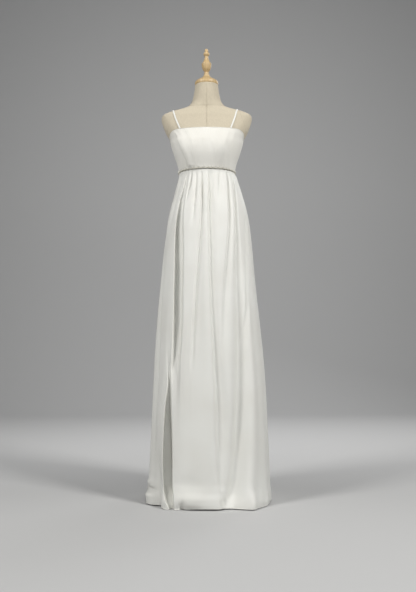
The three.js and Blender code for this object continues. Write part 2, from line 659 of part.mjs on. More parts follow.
// The farthest that some meshes reach from a point, looking back at it from outside.
function reachFrom(meshes, middle, way) {
  const far = 400;
  caster.set(middle.clone().addScaledVector(way, far), way.clone().negate());
  const hits = caster.intersectObjects(meshes);
  return hits.length ? far - hits[0].distance : 0;
}

// The closed concealed zip: a narrow raised strip down the centre back seam, through the gap in the braid.
function zipGeometry(panels) {
  const back = new THREE.Vector3(0, 1, 0);
  const heights = evenSteps(ZIP_BOTTOM_Z, BACK_NECK_Z, ZIP_STEPS);
  const halfStep = (BACK_NECK_Z - ZIP_BOTTOM_Z) / ZIP_STEPS / 2;
  const spotAt = (across, z) => new THREE.Vector3((across * ZIP_WIDTH) / 2, 0, z);
  const lay = (out) =>
    heights.map((z) => {
      const spots = [-1, -0.5, 0, 0.5, 1].flatMap((up) =>
        [-1, -0.12, 0.12, 1].map((across) => spotAt(across, z + up * halfStep)),
      );
      const y = Math.max(...spots.map((spot) => reachFrom(panels, spot, back))) + out;
      return [-1, 0, 1].map((across) => new THREE.Vector3((-across * ZIP_WIDTH) / 2, y, z));
    });
  return wallGeometry(lay(SEAM_GAP + ZIP_THICK), lay(SEAM_GAP));
}

// A strap from the front top edge over the shoulder to the back top edge, laid on the form by rays from a
// line inside it, each point clear of the form for half a step either way.
function strapGeometry(torso, { side, frontTurn, backTurn, shoulder }) {
  const front = bodicePoint(frontTurn, topEdgeHeight(frontTurn));
  const back = bodicePoint(backTurn, topEdgeHeight(backTurn));
  const axisZ = front.z;
  const edgeNear = (foot) => Math.max(...[-4, 0, 4].map((turn) => topEdgeHeight(foot + turn)));
  const rise = (foot) => edgeNear(foot) + STRAP_END_GAP - axisZ;
  const from = Math.atan2(rise(frontTurn), STRAP_AXIS_Y - front.y) / DEGREES;
  const to = 180 - Math.atan2(rise(backTurn), back.y - STRAP_AXIS_Y) / DEGREES;
  const halfStep = (to - from) / STRAP_STEPS / 2;
  const wayAt = (angle) => new THREE.Vector3(0, -Math.cos(angle * DEGREES), Math.sin(angle * DEGREES));
  const path = evenSteps(from, to, STRAP_STEPS).map((angle, k) => {
    const share = k / STRAP_STEPS;
    const ends = THREE.MathUtils.lerp(front.x, back.x, share);
    const centre = ends + (shoulder - (front.x + back.x) / 2) * Math.sin(Math.PI * share);
    const atEnd = Math.abs(2 * share - 1) ** 8;
    const lift = STRAP_LIFT + atEnd * (EASE - WALL - STRAP_LIFT);
    return [-1, 0, 1].map((across) => {
      const middle = new THREE.Vector3(side * centre + (across * STRAP_WIDTH) / 2, STRAP_AXIS_Y, axisZ);
      const reaches = [-1, 0, 1].map((turn) => reachFrom([torso], middle, wayAt(angle + turn * halfStep)));
      return { middle, way: wayAt(angle), reach: Math.max(...reaches) + lift };
    });
  });
  const placed = ({ middle, way, reach }, out) => middle.clone().addScaledVector(way, reach + out);
  const lay = (out) => path.map((row) => row.map((spot) => placed(spot, out)));
  return wallGeometry(lay(STRAP_THICK), lay(0));
}

function turnedGeometry(profile, baseZ) {
  const points = profile.map(({ radius, height }) => new THREE.Vector2(radius, baseZ + height));
  const closed = [new THREE.Vector2(0, points[0].y), ...points, new THREE.Vector2(0, points.at(-1).y)];
  return new THREE.LatheGeometry(closed, TURNED_SIDES).rotateX(Math.PI / 2);
}

const SATIN = { color: 0xf4f2ea, roughness: 0.42, metalness: 0 };
const LINEN = { color: 0xcfc1a6, roughness: 0.9, metalness: 0 };
const WOOD = { color: 0xd2b27c, roughness: 0.45, metalness: 0 };
const BRAID = { color: 0xd8d4c4, roughness: 0.35, metalness: 0.1 };
const STEEL = { color: 0xb9bcc0, roughness: 0.3, metalness: 0.9 };
const IRON = { color: 0x2c2d30, roughness: 0.55, metalness: 0.4 };

function node(name, geometry, look) {
  const mesh = new THREE.Mesh(geometry, new THREE.MeshStandardMaterial({ ...look, side: THREE.DoubleSide }));
  mesh.name = name;
  return mesh;
}

const neckTop = FORM_SECTIONS.at(-1).z;
const torsoBottom = FORM_SECTIONS[0].z;
const poleBottom = FOOT_THICK + HUB_HEIGHT + SEAM_GAP;
const poleTop = torsoBottom - SOCKET_HEIGHT - 2 * SEAM_GAP;
const FOOT_PROFILE = [
  { radius: FOOT_RADIUS, height: 0 },
  { radius: FOOT_RADIUS, height: FOOT_THICK - 3 },
  { radius: FOOT_RADIUS - 6, height: FOOT_THICK },
  { radius: HUB_RADIUS, height: FOOT_THICK + 3 },
  { radius: POLE_RADIUS + 5, height: FOOT_THICK + 12 },
  { radius: POLE_RADIUS + 4, height: FOOT_THICK + HUB_HEIGHT },
];
const POLE_PROFILE = [
  { radius: POLE_RADIUS, height: poleBottom },
  { radius: POLE_RADIUS, height: poleTop },
];
const SOCKET_PROFILE = [
  { radius: POLE_RADIUS + 5, height: 0 },
  { radius: SOCKET_RADIUS, height: SOCKET_HEIGHT - 4 },
  { radius: SOCKET_RADIUS, height: SOCKET_HEIGHT },
];

const group = new THREE.Group();
const torso = node("form_torso", torsoGeometry(), LINEN);
torso.updateMatrixWorld(true);
const backPanels = [
  node("bodice_back_right", bodicePanel(SIDE_SEAM_TURN, 180, BACK_PLEATS), SATIN),
  node("bodice_back_left", bodicePanel(180, 360 - SIDE_SEAM_TURN, BACK_PLEATS), SATIN),
  node("skirt_back_right", skirtPanel(SKIRT_COLUMNS.backRight), SATIN),
  node("skirt_back_left", skirtPanel(SKIRT_COLUMNS.backLeft), SATIN),
];
backPanels.forEach((panel) => panel.updateMatrixWorld(true));
group.add(
  torso,
  node("neck_cap", turnedGeometry(CAP_PROFILE, neckTop + SEAM_GAP), WOOD),
  node("finial", turnedGeometry(FINIAL_PROFILE, neckTop + SEAM_GAP), WOOD),
  node("stand_foot", turnedGeometry(FOOT_PROFILE, 0), IRON),
  node("stand_pole", turnedGeometry(POLE_PROFILE, 0), STEEL),
  node("pole_socket", turnedGeometry(SOCKET_PROFILE, torsoBottom - SOCKET_HEIGHT - SEAM_GAP), IRON),
  node("bodice_front", bodicePanel(-SIDE_SEAM_TURN, SIDE_SEAM_TURN, FRONT_PLEATS), SATIN),
  node("strap_right", strapGeometry(torso, STRAPS.right), SATIN),
  node("strap_left", strapGeometry(torso, STRAPS.left), SATIN),
  node("waist_trim", trimGeometry(), BRAID),
  node("back_zip", zipGeometry(backPanels), SATIN),
  node("skirt_front", skirtPanel(SKIRT_COLUMNS.front), SATIN),
  ...backPanels,
);

export default group;
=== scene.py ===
import math

import bpy
import numpy as np
from mathutils import Matrix, Vector
from mathutils.bvhtree import BVHTree


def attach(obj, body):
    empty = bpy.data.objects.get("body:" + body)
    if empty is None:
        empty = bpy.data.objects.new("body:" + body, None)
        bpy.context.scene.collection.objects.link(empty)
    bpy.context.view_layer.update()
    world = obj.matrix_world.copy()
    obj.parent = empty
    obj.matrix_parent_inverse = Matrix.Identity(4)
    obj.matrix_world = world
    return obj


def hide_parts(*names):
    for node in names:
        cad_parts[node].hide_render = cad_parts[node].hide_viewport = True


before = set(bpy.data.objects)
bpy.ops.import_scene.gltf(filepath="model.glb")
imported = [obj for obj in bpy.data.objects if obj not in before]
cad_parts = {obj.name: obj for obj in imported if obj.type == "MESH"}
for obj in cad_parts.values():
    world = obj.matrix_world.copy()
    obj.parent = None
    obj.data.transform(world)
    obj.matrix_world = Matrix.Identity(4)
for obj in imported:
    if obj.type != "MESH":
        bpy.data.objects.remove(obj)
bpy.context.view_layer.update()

MM = 0.001

# Driving sizes, the same as the solids'.
EASE = 3.2
WAIST_Z = 1289
WAIST_FRONT_RISE = 6
NECKLINE_Z = 1463
NECKLINE_SAG = 3
ARMPIT_Z = 1426
BACK_NECK_Z = 1416
NECK_CORNER_TURN = 43
BACK_LEVEL_TURN = 147
STRAP_AXIS_Y = 8
STRAP_STEPS = 90
SIDE_SEAM_TURN = 90
CUP_X = 70
CUP_SPREAD = 46
FORM_CLEARANCE = 3
HEM_WAVE = 3
CLOTH = 0.8
THIN_CLOTH = 0.5

FORM_KEYS = ("z", "half", "front", "back", "power", "cup")
FORM_SECTIONS = [
    (905, 139, 90, 102, 2.1, 0),
    (913, 147, 96, 110, 2.1, 0),
    (935, 152, 99, 115, 2.1, 0),
    (975, 155, 102, 119, 2.1, 0),
    (1020, 152, 103, 119, 2.1, 0),
    (1070, 142, 102, 112, 2.1, 0),
    (1120, 127, 97, 101, 2.1, 0),
    (1170, 111, 90, 88, 2.1, 0),
    (1215, 102, 86, 79, 2.1, 0),
    (1255, 103, 88, 79, 2.1, 0),
    (1290, 107, 92, 82, 2.1, 1),
    (1312, 111.5, 97, 84, 2.15, 4),
    (1336, 117.5, 104, 87, 2.2, 9),
    (1361, 126.5, 110, 91, 2.25, 13),
    (1386, 134.5, 112, 94, 2.3, 14),
    (1410, 141.5, 110, 96, 2.35, 11),
    (1427, 145.5, 105, 97, 2.4, 6),
    (1445, 155.5, 98, 97, 2.5, 2),
    (1462, 165, 90, 96, 2.6, 0),
    (1480, 172.5, 82, 94, 2.7, 0),
    (1498, 178.5, 75, 92, 2.7, 0),
    (1513, 182.5, 69, 89, 2.7, 0),
    (1526, 182, 65, 86, 2.7, 0),
    (1535, 176, 61, 83, 2.6, 0),
    (1544, 159, 57, 80, 2.5, 0),
    (1552, 136, 54, 77, 2.3, 0),
    (1560, 103, 52, 74, 2.2, 0),
    (1570, 78, 50, 68, 2.1, 0),
    (1588, 62, 50, 59, 2, 0),
    (1616, 53, 51, 52, 2, 0),
    (1660, 46.5, 50, 43, 2, 0),
]

SKIRT_KEYS = ("z", "half", "front", "back", "power", "lean")
SKIRT_SECTIONS = [
    (0, 249, 230, 240, 2.8, 0),
    (30, 248.5, 226, 240, 2.75, 0),
    (60, 244, 217, 233, 2.65, 1),
    (95, 242, 210, 229, 2.5, 2),
    (240, 235.5, 200, 221, 2.35, 3),
    (390, 228.5, 192, 211, 2.25, 4.5),
    (545, 219.5, 182, 199, 2.15, 4.5),
    (700, 206.5, 171, 184, 2.1, 3),
    (860, 190.5, 158, 167, 2.1, 2.5),
    (980, 179, 147, 153, 2.1, 4),
    (1055, 170, 139, 142, 2.1, 5),
    (1105, 163, 132, 132, 2.1, 5),
    (1152, 153.5, 125, 120, 2.1, 5),
    (1192, 142.5, 116, 109, 2.1, 5),
    (1232, 131.5, 107, 98, 2.1, 5),
    (1262, 122.5, 101, 91, 2.1, 4),
    (1280, 116.5, 97.5, 87.5, 2.1, 3),
    (1289, 112, 95.5, 85.5, 2.1, 1),
    (1296, 111, 95.5, 85.5, 2.1, 0),
]

# The two deep left folds, flat at the bottom: the turns of their edges, how far they go back, and how many
# degrees each edge takes to fall. slope is how much deeper one is at its right edge than at its middle.
SLOTS = [
    dict(
        name="upper trough", slope=0.12,
        z=(1282, 1222, 1182, 1141, 1101, 1060, 980, 902, 786, 709, 632, 556, 518, 481, 406, 250, 20),
        left=(
            -45, -46.2, -48, -48, -48.3, -48, -45.5, -42.9, -40.5, -39, -38, -37.6, -38, -38, -36.7, -31, -21,
        ),
        right=(
            -40, -38.3, -38.4, -37.7, -36.6, -35, -31.7, -30.3, -28.7, -27.8, -28, -29, -29, -29, -28.3, -26,
            -15,
        ),
        depth=(3, 9, 15, 20, 25, 29, 33, 35, 35, 34, 30, 23, 16, 9, 3, 0, 0),
        left_soft=(2, 2.4, 2.8, 2.8, 2.8, 2.8, 2.8, 2.8, 2.8, 3, 4, 5, 5, 5, 5, 5, 5),
        right_soft=(3, 3, 3, 3, 3, 3, 3, 3, 3, 3, 3, 3.5, 4, 5, 6, 6, 6),
    ),
    dict(
        name="lower fold", slope=0.38,
        z=(1282, 1100, 900, 700, 560, 500, 458, 405, 375, 330, 286, 220, 154, 90, 70, 49, 29, 8),
        left=(
            -60, -58, -54, -50, -46, -43.5, -42, -43, -43.7, -44, -44.2, -43.9, -42.9, -40.6, -38.6, -35.4,
            -32, -28,
        ),
        right=(
            -52, -52, -47, -42, -41, -40.2, -39, -37.4, -36.7, -35.5, -34, -32.3, -30.8, -29.3, -27.7, -25.4,
            -24.2, -23.3,
        ),
        depth=(0, 0, 0, 0, 2, 9, 17, 28, 34, 40, 44, 47, 48, 48, 48, 46, 40, 28),
        left_soft=(3, 3, 3, 3, 3, 3, 3, 2.4, 2, 1.8, 1.6, 1.6, 1.6, 1.6, 1.6, 1.8, 2, 2),
        right_soft=(3, 3, 3, 3, 3, 3, 3, 3, 3, 3, 2.6, 2, 1.8, 1.8, 2, 2, 2.4, 2.4),
    ),
]

# The front's other creases, each at heights of its own: turn, depth and spread in degrees. skew widens the
# side towards +X when it is below 0, lip is how steep the sides are, and guide runs mesh columns along it.
FRONT_CREASES = [
    dict(
        name="side line, upper", skew=0, lip=1, guide=False,
        z=(1285, 1225, 1168, 1107, 1040), turn=(-65.5, -64.5, -65.4, -65.3, -66),
        depth=(4, 6, 7, 4, 0), spread=(3.6, 3.8, 4.6, 5, 5),
    ),
    dict(
        name="side line, lower", skew=0.2, lip=1, guide=True,
        z=(1282, 1012, 902, 743, 606, 509, 413, 298, 166, 75, 20),
        turn=(-76, -74, -72.5, -68.7, -66.2, -64.4, -65, -66.2, -66.1, -64, -62),
        depth=(0, 0, 3, 7, 9, 10, 10, 9, 8, 7, 5), spread=(3, 3, 4, 4.2, 4.2, 4.4, 5.5, 6.5, 7, 6.5, 7),
    ),
    dict(
        name="gather beside the trough", skew=0, lip=1, guide=False,
        z=(1285, 1240, 1200, 1160), turn=(-31, -32.6, -34.3, -36), depth=(3.5, 4.5, 3, 0),
        spread=(1.6, 1.7, 1.8, 2),
    ),
    dict(
        name="third gather", skew=0, lip=1, guide=False,
        z=(1285, 1226, 1172, 1112, 1060), turn=(-21.6, -20.5, -20.2, -20.6, -21),
        depth=(3, 4.5, 5, 3, 0), spread=(1.5, 1.6, 1.9, 2.2, 2.4),
    ),
    dict(
        name="long left gather", skew=-0.15, lip=1.1, guide=True,
        z=(1285, 1210, 1147, 1070, 1008, 920, 833, 738, 640, 568, 493, 250, 20),
        turn=(-11.6, -10, -8.9, -9.3, -10.3, -11.8, -12.8, -13.9, -15, -15.5, -15.4, -12, -6),
        depth=(4.5, 6.5, 7.5, 7, 7, 7, 7, 6.5, 5.5, 3.5, 0, 0, 0),
        spread=(1.7, 1.9, 2.1, 2, 2, 2, 1.9, 1.8, 1.7, 1.7, 1.5, 3, 3),
    ),
    dict(
        name="centre fold", skew=-0.5, lip=1.1, guide=True,
        z=(1285, 1200, 1126, 1030, 929, 820, 718, 620, 530, 440, 345, 250, 162, 90, 20),
        turn=(2, 1.4, 1.4, 2, 2.8, 3.6, 4.4, 5.2, 5.9, 6.8, 7.6, 8, 8.2, 8, 8.2),
        depth=(4.5, 7, 9, 10, 10, 10, 10.5, 12, 14, 16, 16, 15, 12, 8, 5),
        spread=(2.2, 3, 3.6, 3.2, 3, 3.2, 3.4, 3.7, 4.2, 5, 6, 6.6, 6.6, 6, 4),
    ),
    dict(
        name="gather beside the centre", skew=0, lip=1, guide=False,
        z=(1285, 1245, 1201, 1165), turn=(8, 6.4, 4.6, 3.6), depth=(3, 3.5, 2.5, 0),
        spread=(1.5, 1.5, 1.6, 1.8),
    ),
    dict(
        name="faint gather", skew=0, lip=1, guide=False,
        z=(1285, 1240, 1190, 1130), turn=(23, 19.5, 16, 14), depth=(2.5, 2.6, 1.6, 0),
        spread=(1.8, 2, 2.2, 2.4),
    ),
    dict(
        name="long right gather", skew=-0.1, lip=1, guide=True,
        z=(1285, 1225, 1170, 1081, 1000, 911, 820, 737, 620, 511, 250, 20),
        turn=(41, 36.5, 33.3, 29.6, 26, 22.8, 19.8, 17.6, 14.6, 12.6, 12.4, 11.6),
        depth=(4, 6, 7, 7.5, 6.5, 6, 5.5, 4.5, 3, 0, 0, 0),
        spread=(1.8, 2, 2, 2.1, 2.5, 2.9, 3.3, 3.6, 3.8, 4, 4, 4),
    ),
    dict(
        name="right valley", skew=0.2, lip=1.1, guide=True,
        z=(1282, 1266, 1215, 1123, 1030, 932, 835, 738, 640, 548, 430, 324, 220, 124, 60, 18),
        turn=(57, 54.5, 50.2, 42.6, 39.8, 38, 37.4, 36.9, 36, 34.8, 32.6, 30.2, 27.4, 24, 20, 15.5),
        depth=(0, 3, 5.5, 7, 8, 9, 11, 14, 17, 19, 22, 24, 25, 24, 19, 11),
        spread=(2, 2.3, 2.5, 2.4, 3, 4.2, 5, 5.6, 6, 6.4, 6.8, 7, 7, 6.6, 6, 5),
    ),
    dict(
        name="far right line", skew=0, lip=1, guide=False,
        z=(1110, 1077, 996, 915, 837, 740, 643, 560, 472),
        turn=(63, 61.6, 58, 54.5, 51.1, 46, 41.2, 38, 34.6),
        depth=(0, 3, 6, 7, 7, 6, 4, 2, 0), spread=(2.8, 2.8, 2.8, 2.6, 2.4, 2.2, 2, 2, 2),
    ),
    dict(
        name="bright ridge left of the centre", skew=0.2, lip=1, guide=False,
        z=(1120, 1007, 891, 737, 586, 400, 200, 100), turn=(-3, -2.8, -2.8, -2.4, -1, -0.8, -0.5, -0.5),
        depth=(0, -3, -4.5, -4.5, -3.5, -2.5, -1.5, 0), spread=(3, 3.4, 3.8, 4.4, 5, 6, 7, 7),
    ),
    dict(
        name="ridge right of the valley", skew=0, lip=1, guide=False,
        z=(1000, 850, 640, 430, 250, 120, 60), turn=(48, 48, 47, 44, 41, 38, 36),
        depth=(0, -3, -5, -6, -6, -4, 0), spread=(6, 6, 6, 7, 7, 7, 7),
    ),
    dict(
        name="hem recess, left", skew=0, lip=1, guide=False,
        z=(330, 200, 100, 40, 5), turn=(-58, -56, -54, -52, -50), depth=(0, 8, 18, 24, 26),
        spread=(9, 9, 9, 9, 9),
    ),
    dict(
        name="hem corner, right", skew=0, lip=1, guide=False,
        z=(260, 160, 80, 30, 5), turn=(32, 32, 32, 31.5, 31), depth=(0, -4, -9, -15, -17),
        spread=(7, 7, 7, 7, 7),
    ),
    dict(
        name="hem puff", skew=0, lip=1, guide=False,
        z=(130, 95, 66, 42, 22, 6), turn=(-13, -13, -12, -11, -11, -11),
        depth=(0, 3, 0, -6, -3, 4), spread=(9, 9, 9, 10, 10, 10),
    ),
    dict(
        name="hem hollow", skew=0, lip=1, guide=False,
        z=(170, 110, 70, 40, 18, 4), turn=(17, 17, 17, 16, 15, 15),
        depth=(0, 3, 8, 12, 9, 3), spread=(9, 10, 10, 9, 8, 8),
    ),
    dict(
        name="hem notch", skew=0, lip=1, guide=False,
        z=(60, 34, 16, 4), turn=(-16, -16, -17, -17), depth=(0, 3, 9, 11), spread=(3, 3, 3, 3),
    ),
    dict(
        name="hem dent", skew=0, lip=1, guide=False,
        z=(70, 45, 24, 6), turn=(9.5, 9.5, 9, 9), depth=(0, 2, 7, 5), spread=(2.4, 2.6, 2.8, 3),
    ),
    dict(
        name="hem crumple, left", skew=0, lip=1, guide=False,
        z=(100, 80, 66, 56, 40, 20), turn=(-72, -71, -70, -69, -68, -68),
        depth=(0, -4, 3, 10, -4, 0), spread=(11, 11, 10, 9, 9, 9),
    ),
]

# The folds of the sides and the back at five heights, waist to hem: turns, depths, spreads in degrees,
# steepness of the sides, and whether the mesh's columns run along it.
FOLD_HEIGHTS = [1262, 1010, 700, 420, 30]
FOLDS = [
    ((78, 80, 80, 79, 76), (4, 5, 6, 8, 7), (5, 7, 8, 8, 10), 1, False),
    ((98, 99, 101, 103, 104), (5, 7, 10, 14, 20), (5, 7, 8, 9, 10), 1.6, True),
    ((116, 120, 122, 124, 126), (5, 9, 12, 13, 14), (5, 6, 7, 8, 9), 1.2, True),
    ((136, 139, 142, 144, 147), (6, 12, 16, 20, 27), (5, 6, 7, 8, 8), 2, True),
    ((155, 157, 159, 161, 164), (5, 10, 11, 12, 12), (4, 6, 7, 8, 9), 1.2, True),
    ((171, 172, 177, 181, 184), (6, 11, 14, 17, 22), (4, 6, 7, 8, 8), 1.6, False),
    ((188, 190, 195, 199, 203), (6, 11, 13, 14, 15), (4, 6, 7, 8, 9), 1.2, True),
    ((205, 209, 213, 217, 221), (5, 12, 17, 21, 28), (5, 6, 7, 8, 8), 2, True),
    ((224, 229, 233, 236, 239), (5, 9, 11, 12, 13), (5, 6, 7, 8, 9), 1.2, True),
    ((243, 248, 251, 253, 256), (5, 8, 12, 15, 20), (5, 7, 8, 9, 9), 1.6, True),
    ((262, 267, 271, 274, 277), (4, 5, 7, 8, 9), (5, 7, 8, 8, 9), 1, False),
]

# How much deeper the cloth falls into the front creases than their table says, and the extra near the waist.
CREASE_GAIN = 1.35
WAIST_GAIN = 0.5

# Fine gathers under the waist seam.
GATHERS = 58
GATHER_SEED = 7
GATHER_LENGTHS = (45, 130)
GATHER_SIZES = (3, 5.5)
GATHER_WIDTHS = (1.2, 1.9)
GATHER_DRIFT = 1.2

# Pressed crinkle of the bodice: radians in a degree of turn, height and deepest point.
CRINKLE_RATE = 2.9
CRINKLE_HEIGHT = 0.6
CRINKLE_FLOOR = -1.6

# The ridge that drops from the left cup, and the dent below the right one.
BUST_RIDGE = 10.5
BUST_DENT = 1.4

# Seams of the form.
SEAM_RADIUS = 0.4
SEAM_GROOVE = 0.7
NECK_SEAM_GROOVE = 0.9
NECK_SEAM_Z = 1574
NECK_SEAM_DIP = 9
SHOULDER_SEAM_Z = 1532
ARM_SEAM_LOW = 1452
ARM_SEAM_TOP = 1552
ARM_SEAM_TOP_X = 133
ARM_SEAM_SPREAD = 24

# Room at the panels' edges, in degrees at the seams and in millimetres at the waist.
SEAM_EDGE = 0.02
SKIRT_SEAM_EDGE = 0.01
WAIST_EDGE = 0.2

# Hem, bound edge, braid, straps and zip. Sways, waves and twists are counts in one round of the waist.
HEM_ROLL = 1.7
BINDING_RADIUS = 0.95
BRAID_END_TURN = 177.6
BRAID_RISE = 4.4
BRAID_SWAY = 1.2
BRAID_SWAYS = 38
FRILL_WAVES = 46
CORD_TWISTS = 120
CORD_RADIUS = 1
STRAP_HALF_WIDTH = 3.3
STRAP_HALF_THICK = 1.25
STRAP_FOOT_DROP = 0.6
STRAP_REST = 1.7
STRAP_FOOT_LIFT = 1.6
ZIP_BOTTOM = 1104

# Turned wood, radius and height above the neck's top.
CAP_PROFILE = [
    (44.5, 0), (46.8, 2), (47.6, 6), (47.2, 11), (45, 16), (38, 21), (27, 27.5), (20, 32), (15.5, 35),
    (14, 40),
]
FINIAL_PROFILE = [
    (11, 40.3), (10.4, 44), (10, 52), (7.8, 54.5), (10.2, 59), (15.6, 67), (18.4, 77), (20, 88), (19, 91.5),
    (14.6, 97.5), (10.6, 105.5), (8, 114), (7.6, 121), (11.2, 126), (12.4, 131), (10.6, 136.5), (6.8, 139.5),
    (7.6, 143.5), (7.2, 149), (3.8, 152.5),
]
NECK_TOP = 1660
TORSO_BOTTOM = 905
TURNED_LIFT = 0.4


# Shape functions. Arrays of turns and heights go in, arrays of millimetres come out.
def column(rows, keys, key, z):
    """Smooth value of a table's column at heights z, by the same cubic as the solids'."""
    zs = np.array([row[0] for row in rows], float)
    values = np.array([row[keys.index(key)] for row in rows], float)
    slopes = np.empty_like(values)
    slopes[1:-1] = (values[2:] - values[:-2]) / (zs[2:] - zs[:-2])
    slopes[0] = (values[1] - values[0]) / (zs[1] - zs[0])
    slopes[-1] = (values[-1] - values[-2]) / (zs[-1] - zs[-2])
    z = np.asarray(z, float)
    i = np.clip(np.searchsorted(zs, z, side="left") - 1, 0, len(zs) - 2)
    span = zs[i + 1] - zs[i]
    s = np.clip((z - zs[i]) / span, 0, 1)
    low = (2 * s**3 - 3 * s**2 + 1) * values[i] + (s**3 - 2 * s**2 + s) * span * slopes[i]
    high = (3 * s**2 - 2 * s**3) * values[i + 1] + (s**3 - s**2) * span * slopes[i + 1]
    return low + high


def smooth_step(low, high, value):
    s = np.clip((np.asarray(value, float) - low) / (high - low), 0, 1)
    return s * s * (3 - 2 * s)


def level_turn(turn):
    """The same turn between -180 and 180."""
    return (np.asarray(turn, float) + 180) % 360 - 180


def section_points(rows, keys, turn, z):
    turn, z = np.broadcast_arrays(np.asarray(turn, float), np.asarray(z, float))
    t = np.radians(turn)
    power = column(rows, keys, "power", z)
    across = np.sign(np.sin(t)) * np.abs(np.sin(t)) ** (2 / power)
    along = np.abs(np.cos(t)) ** (2 / power)
    front = -column(rows, keys, "front", z)
    depth = np.where(np.cos(t) > 0, front, column(rows, keys, "back", z))
    return np.stack([column(rows, keys, "half", z) * across, depth * along, z], -1)


def form_points(turn, z):
    points = section_points(FORM_SECTIONS, FORM_KEYS, turn, z)
    facing = np.maximum(np.cos(np.radians(np.broadcast_to(turn, points.shape[:-1]))), 0)
    cups = sum(np.exp(-(((points[..., 0] - x) / CUP_SPREAD) ** 2)) for x in (-CUP_X, CUP_X))
    points[..., 1] -= column(FORM_SECTIONS, FORM_KEYS, "cup", z) * facing * cups
    return points


def outward_of(points_at, turn, z):
    """Level outward direction of a section, from the points a degree to either side."""
    tangent = points_at(np.asarray(turn, float) + 1, z) - points_at(np.asarray(turn, float) - 1, z)
    tangent /= np.linalg.norm(tangent, axis=-1, keepdims=True)
    return np.stack([tangent[..., 1], -tangent[..., 0], np.zeros_like(tangent[..., 0])], -1)


def bodice_points(turn, z, out=0.0):
    move = np.asarray(EASE + out, float)
    return form_points(turn, z) + outward_of(form_points, turn, z) * move[..., None]


def form_reach(points):
    z = np.maximum(points[..., 2], TORSO_BOTTOM)
    half, front, back, power = (column(FORM_SECTIONS, FORM_KEYS, key, z) for key in FORM_KEYS[1:5])
    length = np.hypot(points[..., 0], points[..., 1])
    depth = np.where(points[..., 1] < 0, front, back)
    across = np.abs(points[..., 0] / length / half) ** power
    along = np.abs(points[..., 1] / length / depth) ** power
    return (across + along) ** (-1 / power)


def waist_height(turn):
    return WAIST_Z + WAIST_FRONT_RISE * (0.5 + 0.5 * np.cos(np.radians(turn)))


def top_edge_height(turn):
    side = np.abs(level_turn(turn))
    back = BACK_NECK_Z + (ARMPIT_Z - BACK_NECK_Z) * (1 - smooth_step(SIDE_SEAM_TURN, BACK_LEVEL_TURN, side))
    front = NECKLINE_Z - NECKLINE_SAG * smooth_step(0, NECK_CORNER_TURN, side)
    start, end = NECK_CORNER_TURN - 6, SIDE_SEAM_TURN + 14
    drop = smooth_step(start, end, side) / smooth_step(start, end, SIDE_SEAM_TURN)
    return np.where(side > SIDE_SEAM_TURN, back, front + (ARMPIT_Z - front) * drop)


def hem_height(turn):
    t = np.radians(turn)
    return HEM_WAVE * (1 + 0.6 * np.sin(5 * t + 1) + 0.4 * np.sin(9 * t + 2.4))


def fold_value(values, z):
    rows = [(height, value) for height, value in zip(FOLD_HEIGHTS, values)][::-1]
    return column(rows, ("z", "value"), "value", np.clip(z, FOLD_HEIGHTS[-1], FOLD_HEIGHTS[0]))


def away_from(turn, centre):
    return np.abs((turn - centre + 540) % 360 - 180)


def crease_value(crease, key, z):
    rows = list(zip(crease["z"], crease[key]))[::-1]
    return column(rows, ("z", "value"), "value", np.clip(z, rows[0][0], rows[-1][0]))


def below_waist(z):
    """1 on the skirt, easing to 0 at the waist seam."""
    return 1 - smooth_step(WAIST_Z - 14, WAIST_Z + 4, z)


def crease_depth(turn, z):
    """How far the front's own creases draw the skirt in."""
    depth = np.zeros(np.broadcast(turn, z).shape)
    for crease in FRONT_CREASES:
        side = (turn - crease_value(crease, "turn", z) + 540) % 360 - 180
        spread = crease_value(crease, "spread", z)
        away = np.abs(side) / (spread * np.where(side < 0, 1 + crease["skew"], 1 - crease["skew"]))
        depth += crease_value(crease, "depth", z) * np.exp(-(away ** (2 * crease["lip"])))
    gain = CREASE_GAIN + WAIST_GAIN * smooth_step(1050, 1200, z)
    return gain * depth * below_waist(z)


def slot_depth(turn, z):
    """How far the two deep left folds go straight back from the front."""
    side = level_turn(turn)
    depth = np.zeros(np.broadcast(turn, z).shape)
    for slot in SLOTS:
        left, right = crease_value(slot, "left", z), crease_value(slot, "right", z)
        half_left = crease_value(slot, "left_soft", z) / 2
        half_right = crease_value(slot, "right_soft", z) / 2
        fall = 1 + slot["slope"] * (2 * np.clip((side - left) / (right - left), 0, 1) - 1)
        opened = fall * smooth_step(left - half_left, left + half_left, side)
        closed = smooth_step(right - half_right, right + half_right, side)
        depth += np.maximum(crease_value(slot, "depth", z), 0) * opened * (1 - closed)
    return depth * below_waist(z)


def fold_depth(turn, z):
    """How far the large folds of the sides and the back draw the skirt in."""
    depth = np.zeros(np.broadcast(turn, z).shape)
    for turns, depths, spreads, lip, _ in FOLDS:
        away = away_from(turn, fold_value(turns, z)) / fold_value(spreads, z)
        depth += np.maximum(fold_value(depths, z), 0) * np.exp(-(away ** (2 * lip)))
    return depth * (1 - smooth_step(FOLD_HEIGHTS[0] - 20, WAIST_Z, z))


def gather_depth(turn, z):
    """Uneven fine gathers that run out below the waist seam, lower where the front has creases of its own."""
    rng = np.random.default_rng(GATHER_SEED)
    below = np.maximum(waist_height(turn) - z, 0)
    depth = np.zeros(np.broadcast(turn, z).shape)
    step = 360 / GATHERS
    for k in range(GATHERS):
        centre = (k + rng.uniform(-0.3, 0.3)) * step
        length = rng.uniform(*GATHER_LENGTHS)
        size = rng.uniform(*GATHER_SIZES)
        width = rng.uniform(*GATHER_WIDTHS)
        drift = rng.uniform(-GATHER_DRIFT, GATHER_DRIFT)
        spread = width * (1 + below / 80)
        away = away_from(turn, centre + drift * below / 100) / spread
        opened = smooth_step(0, 9, below) * np.exp(-((below / length) ** 1.5))
        depth += size * opened * np.exp(-(away**2))
    own = 1 - 0.65 * smooth_step(62, 50, away_from(turn, -2))
    return depth * own


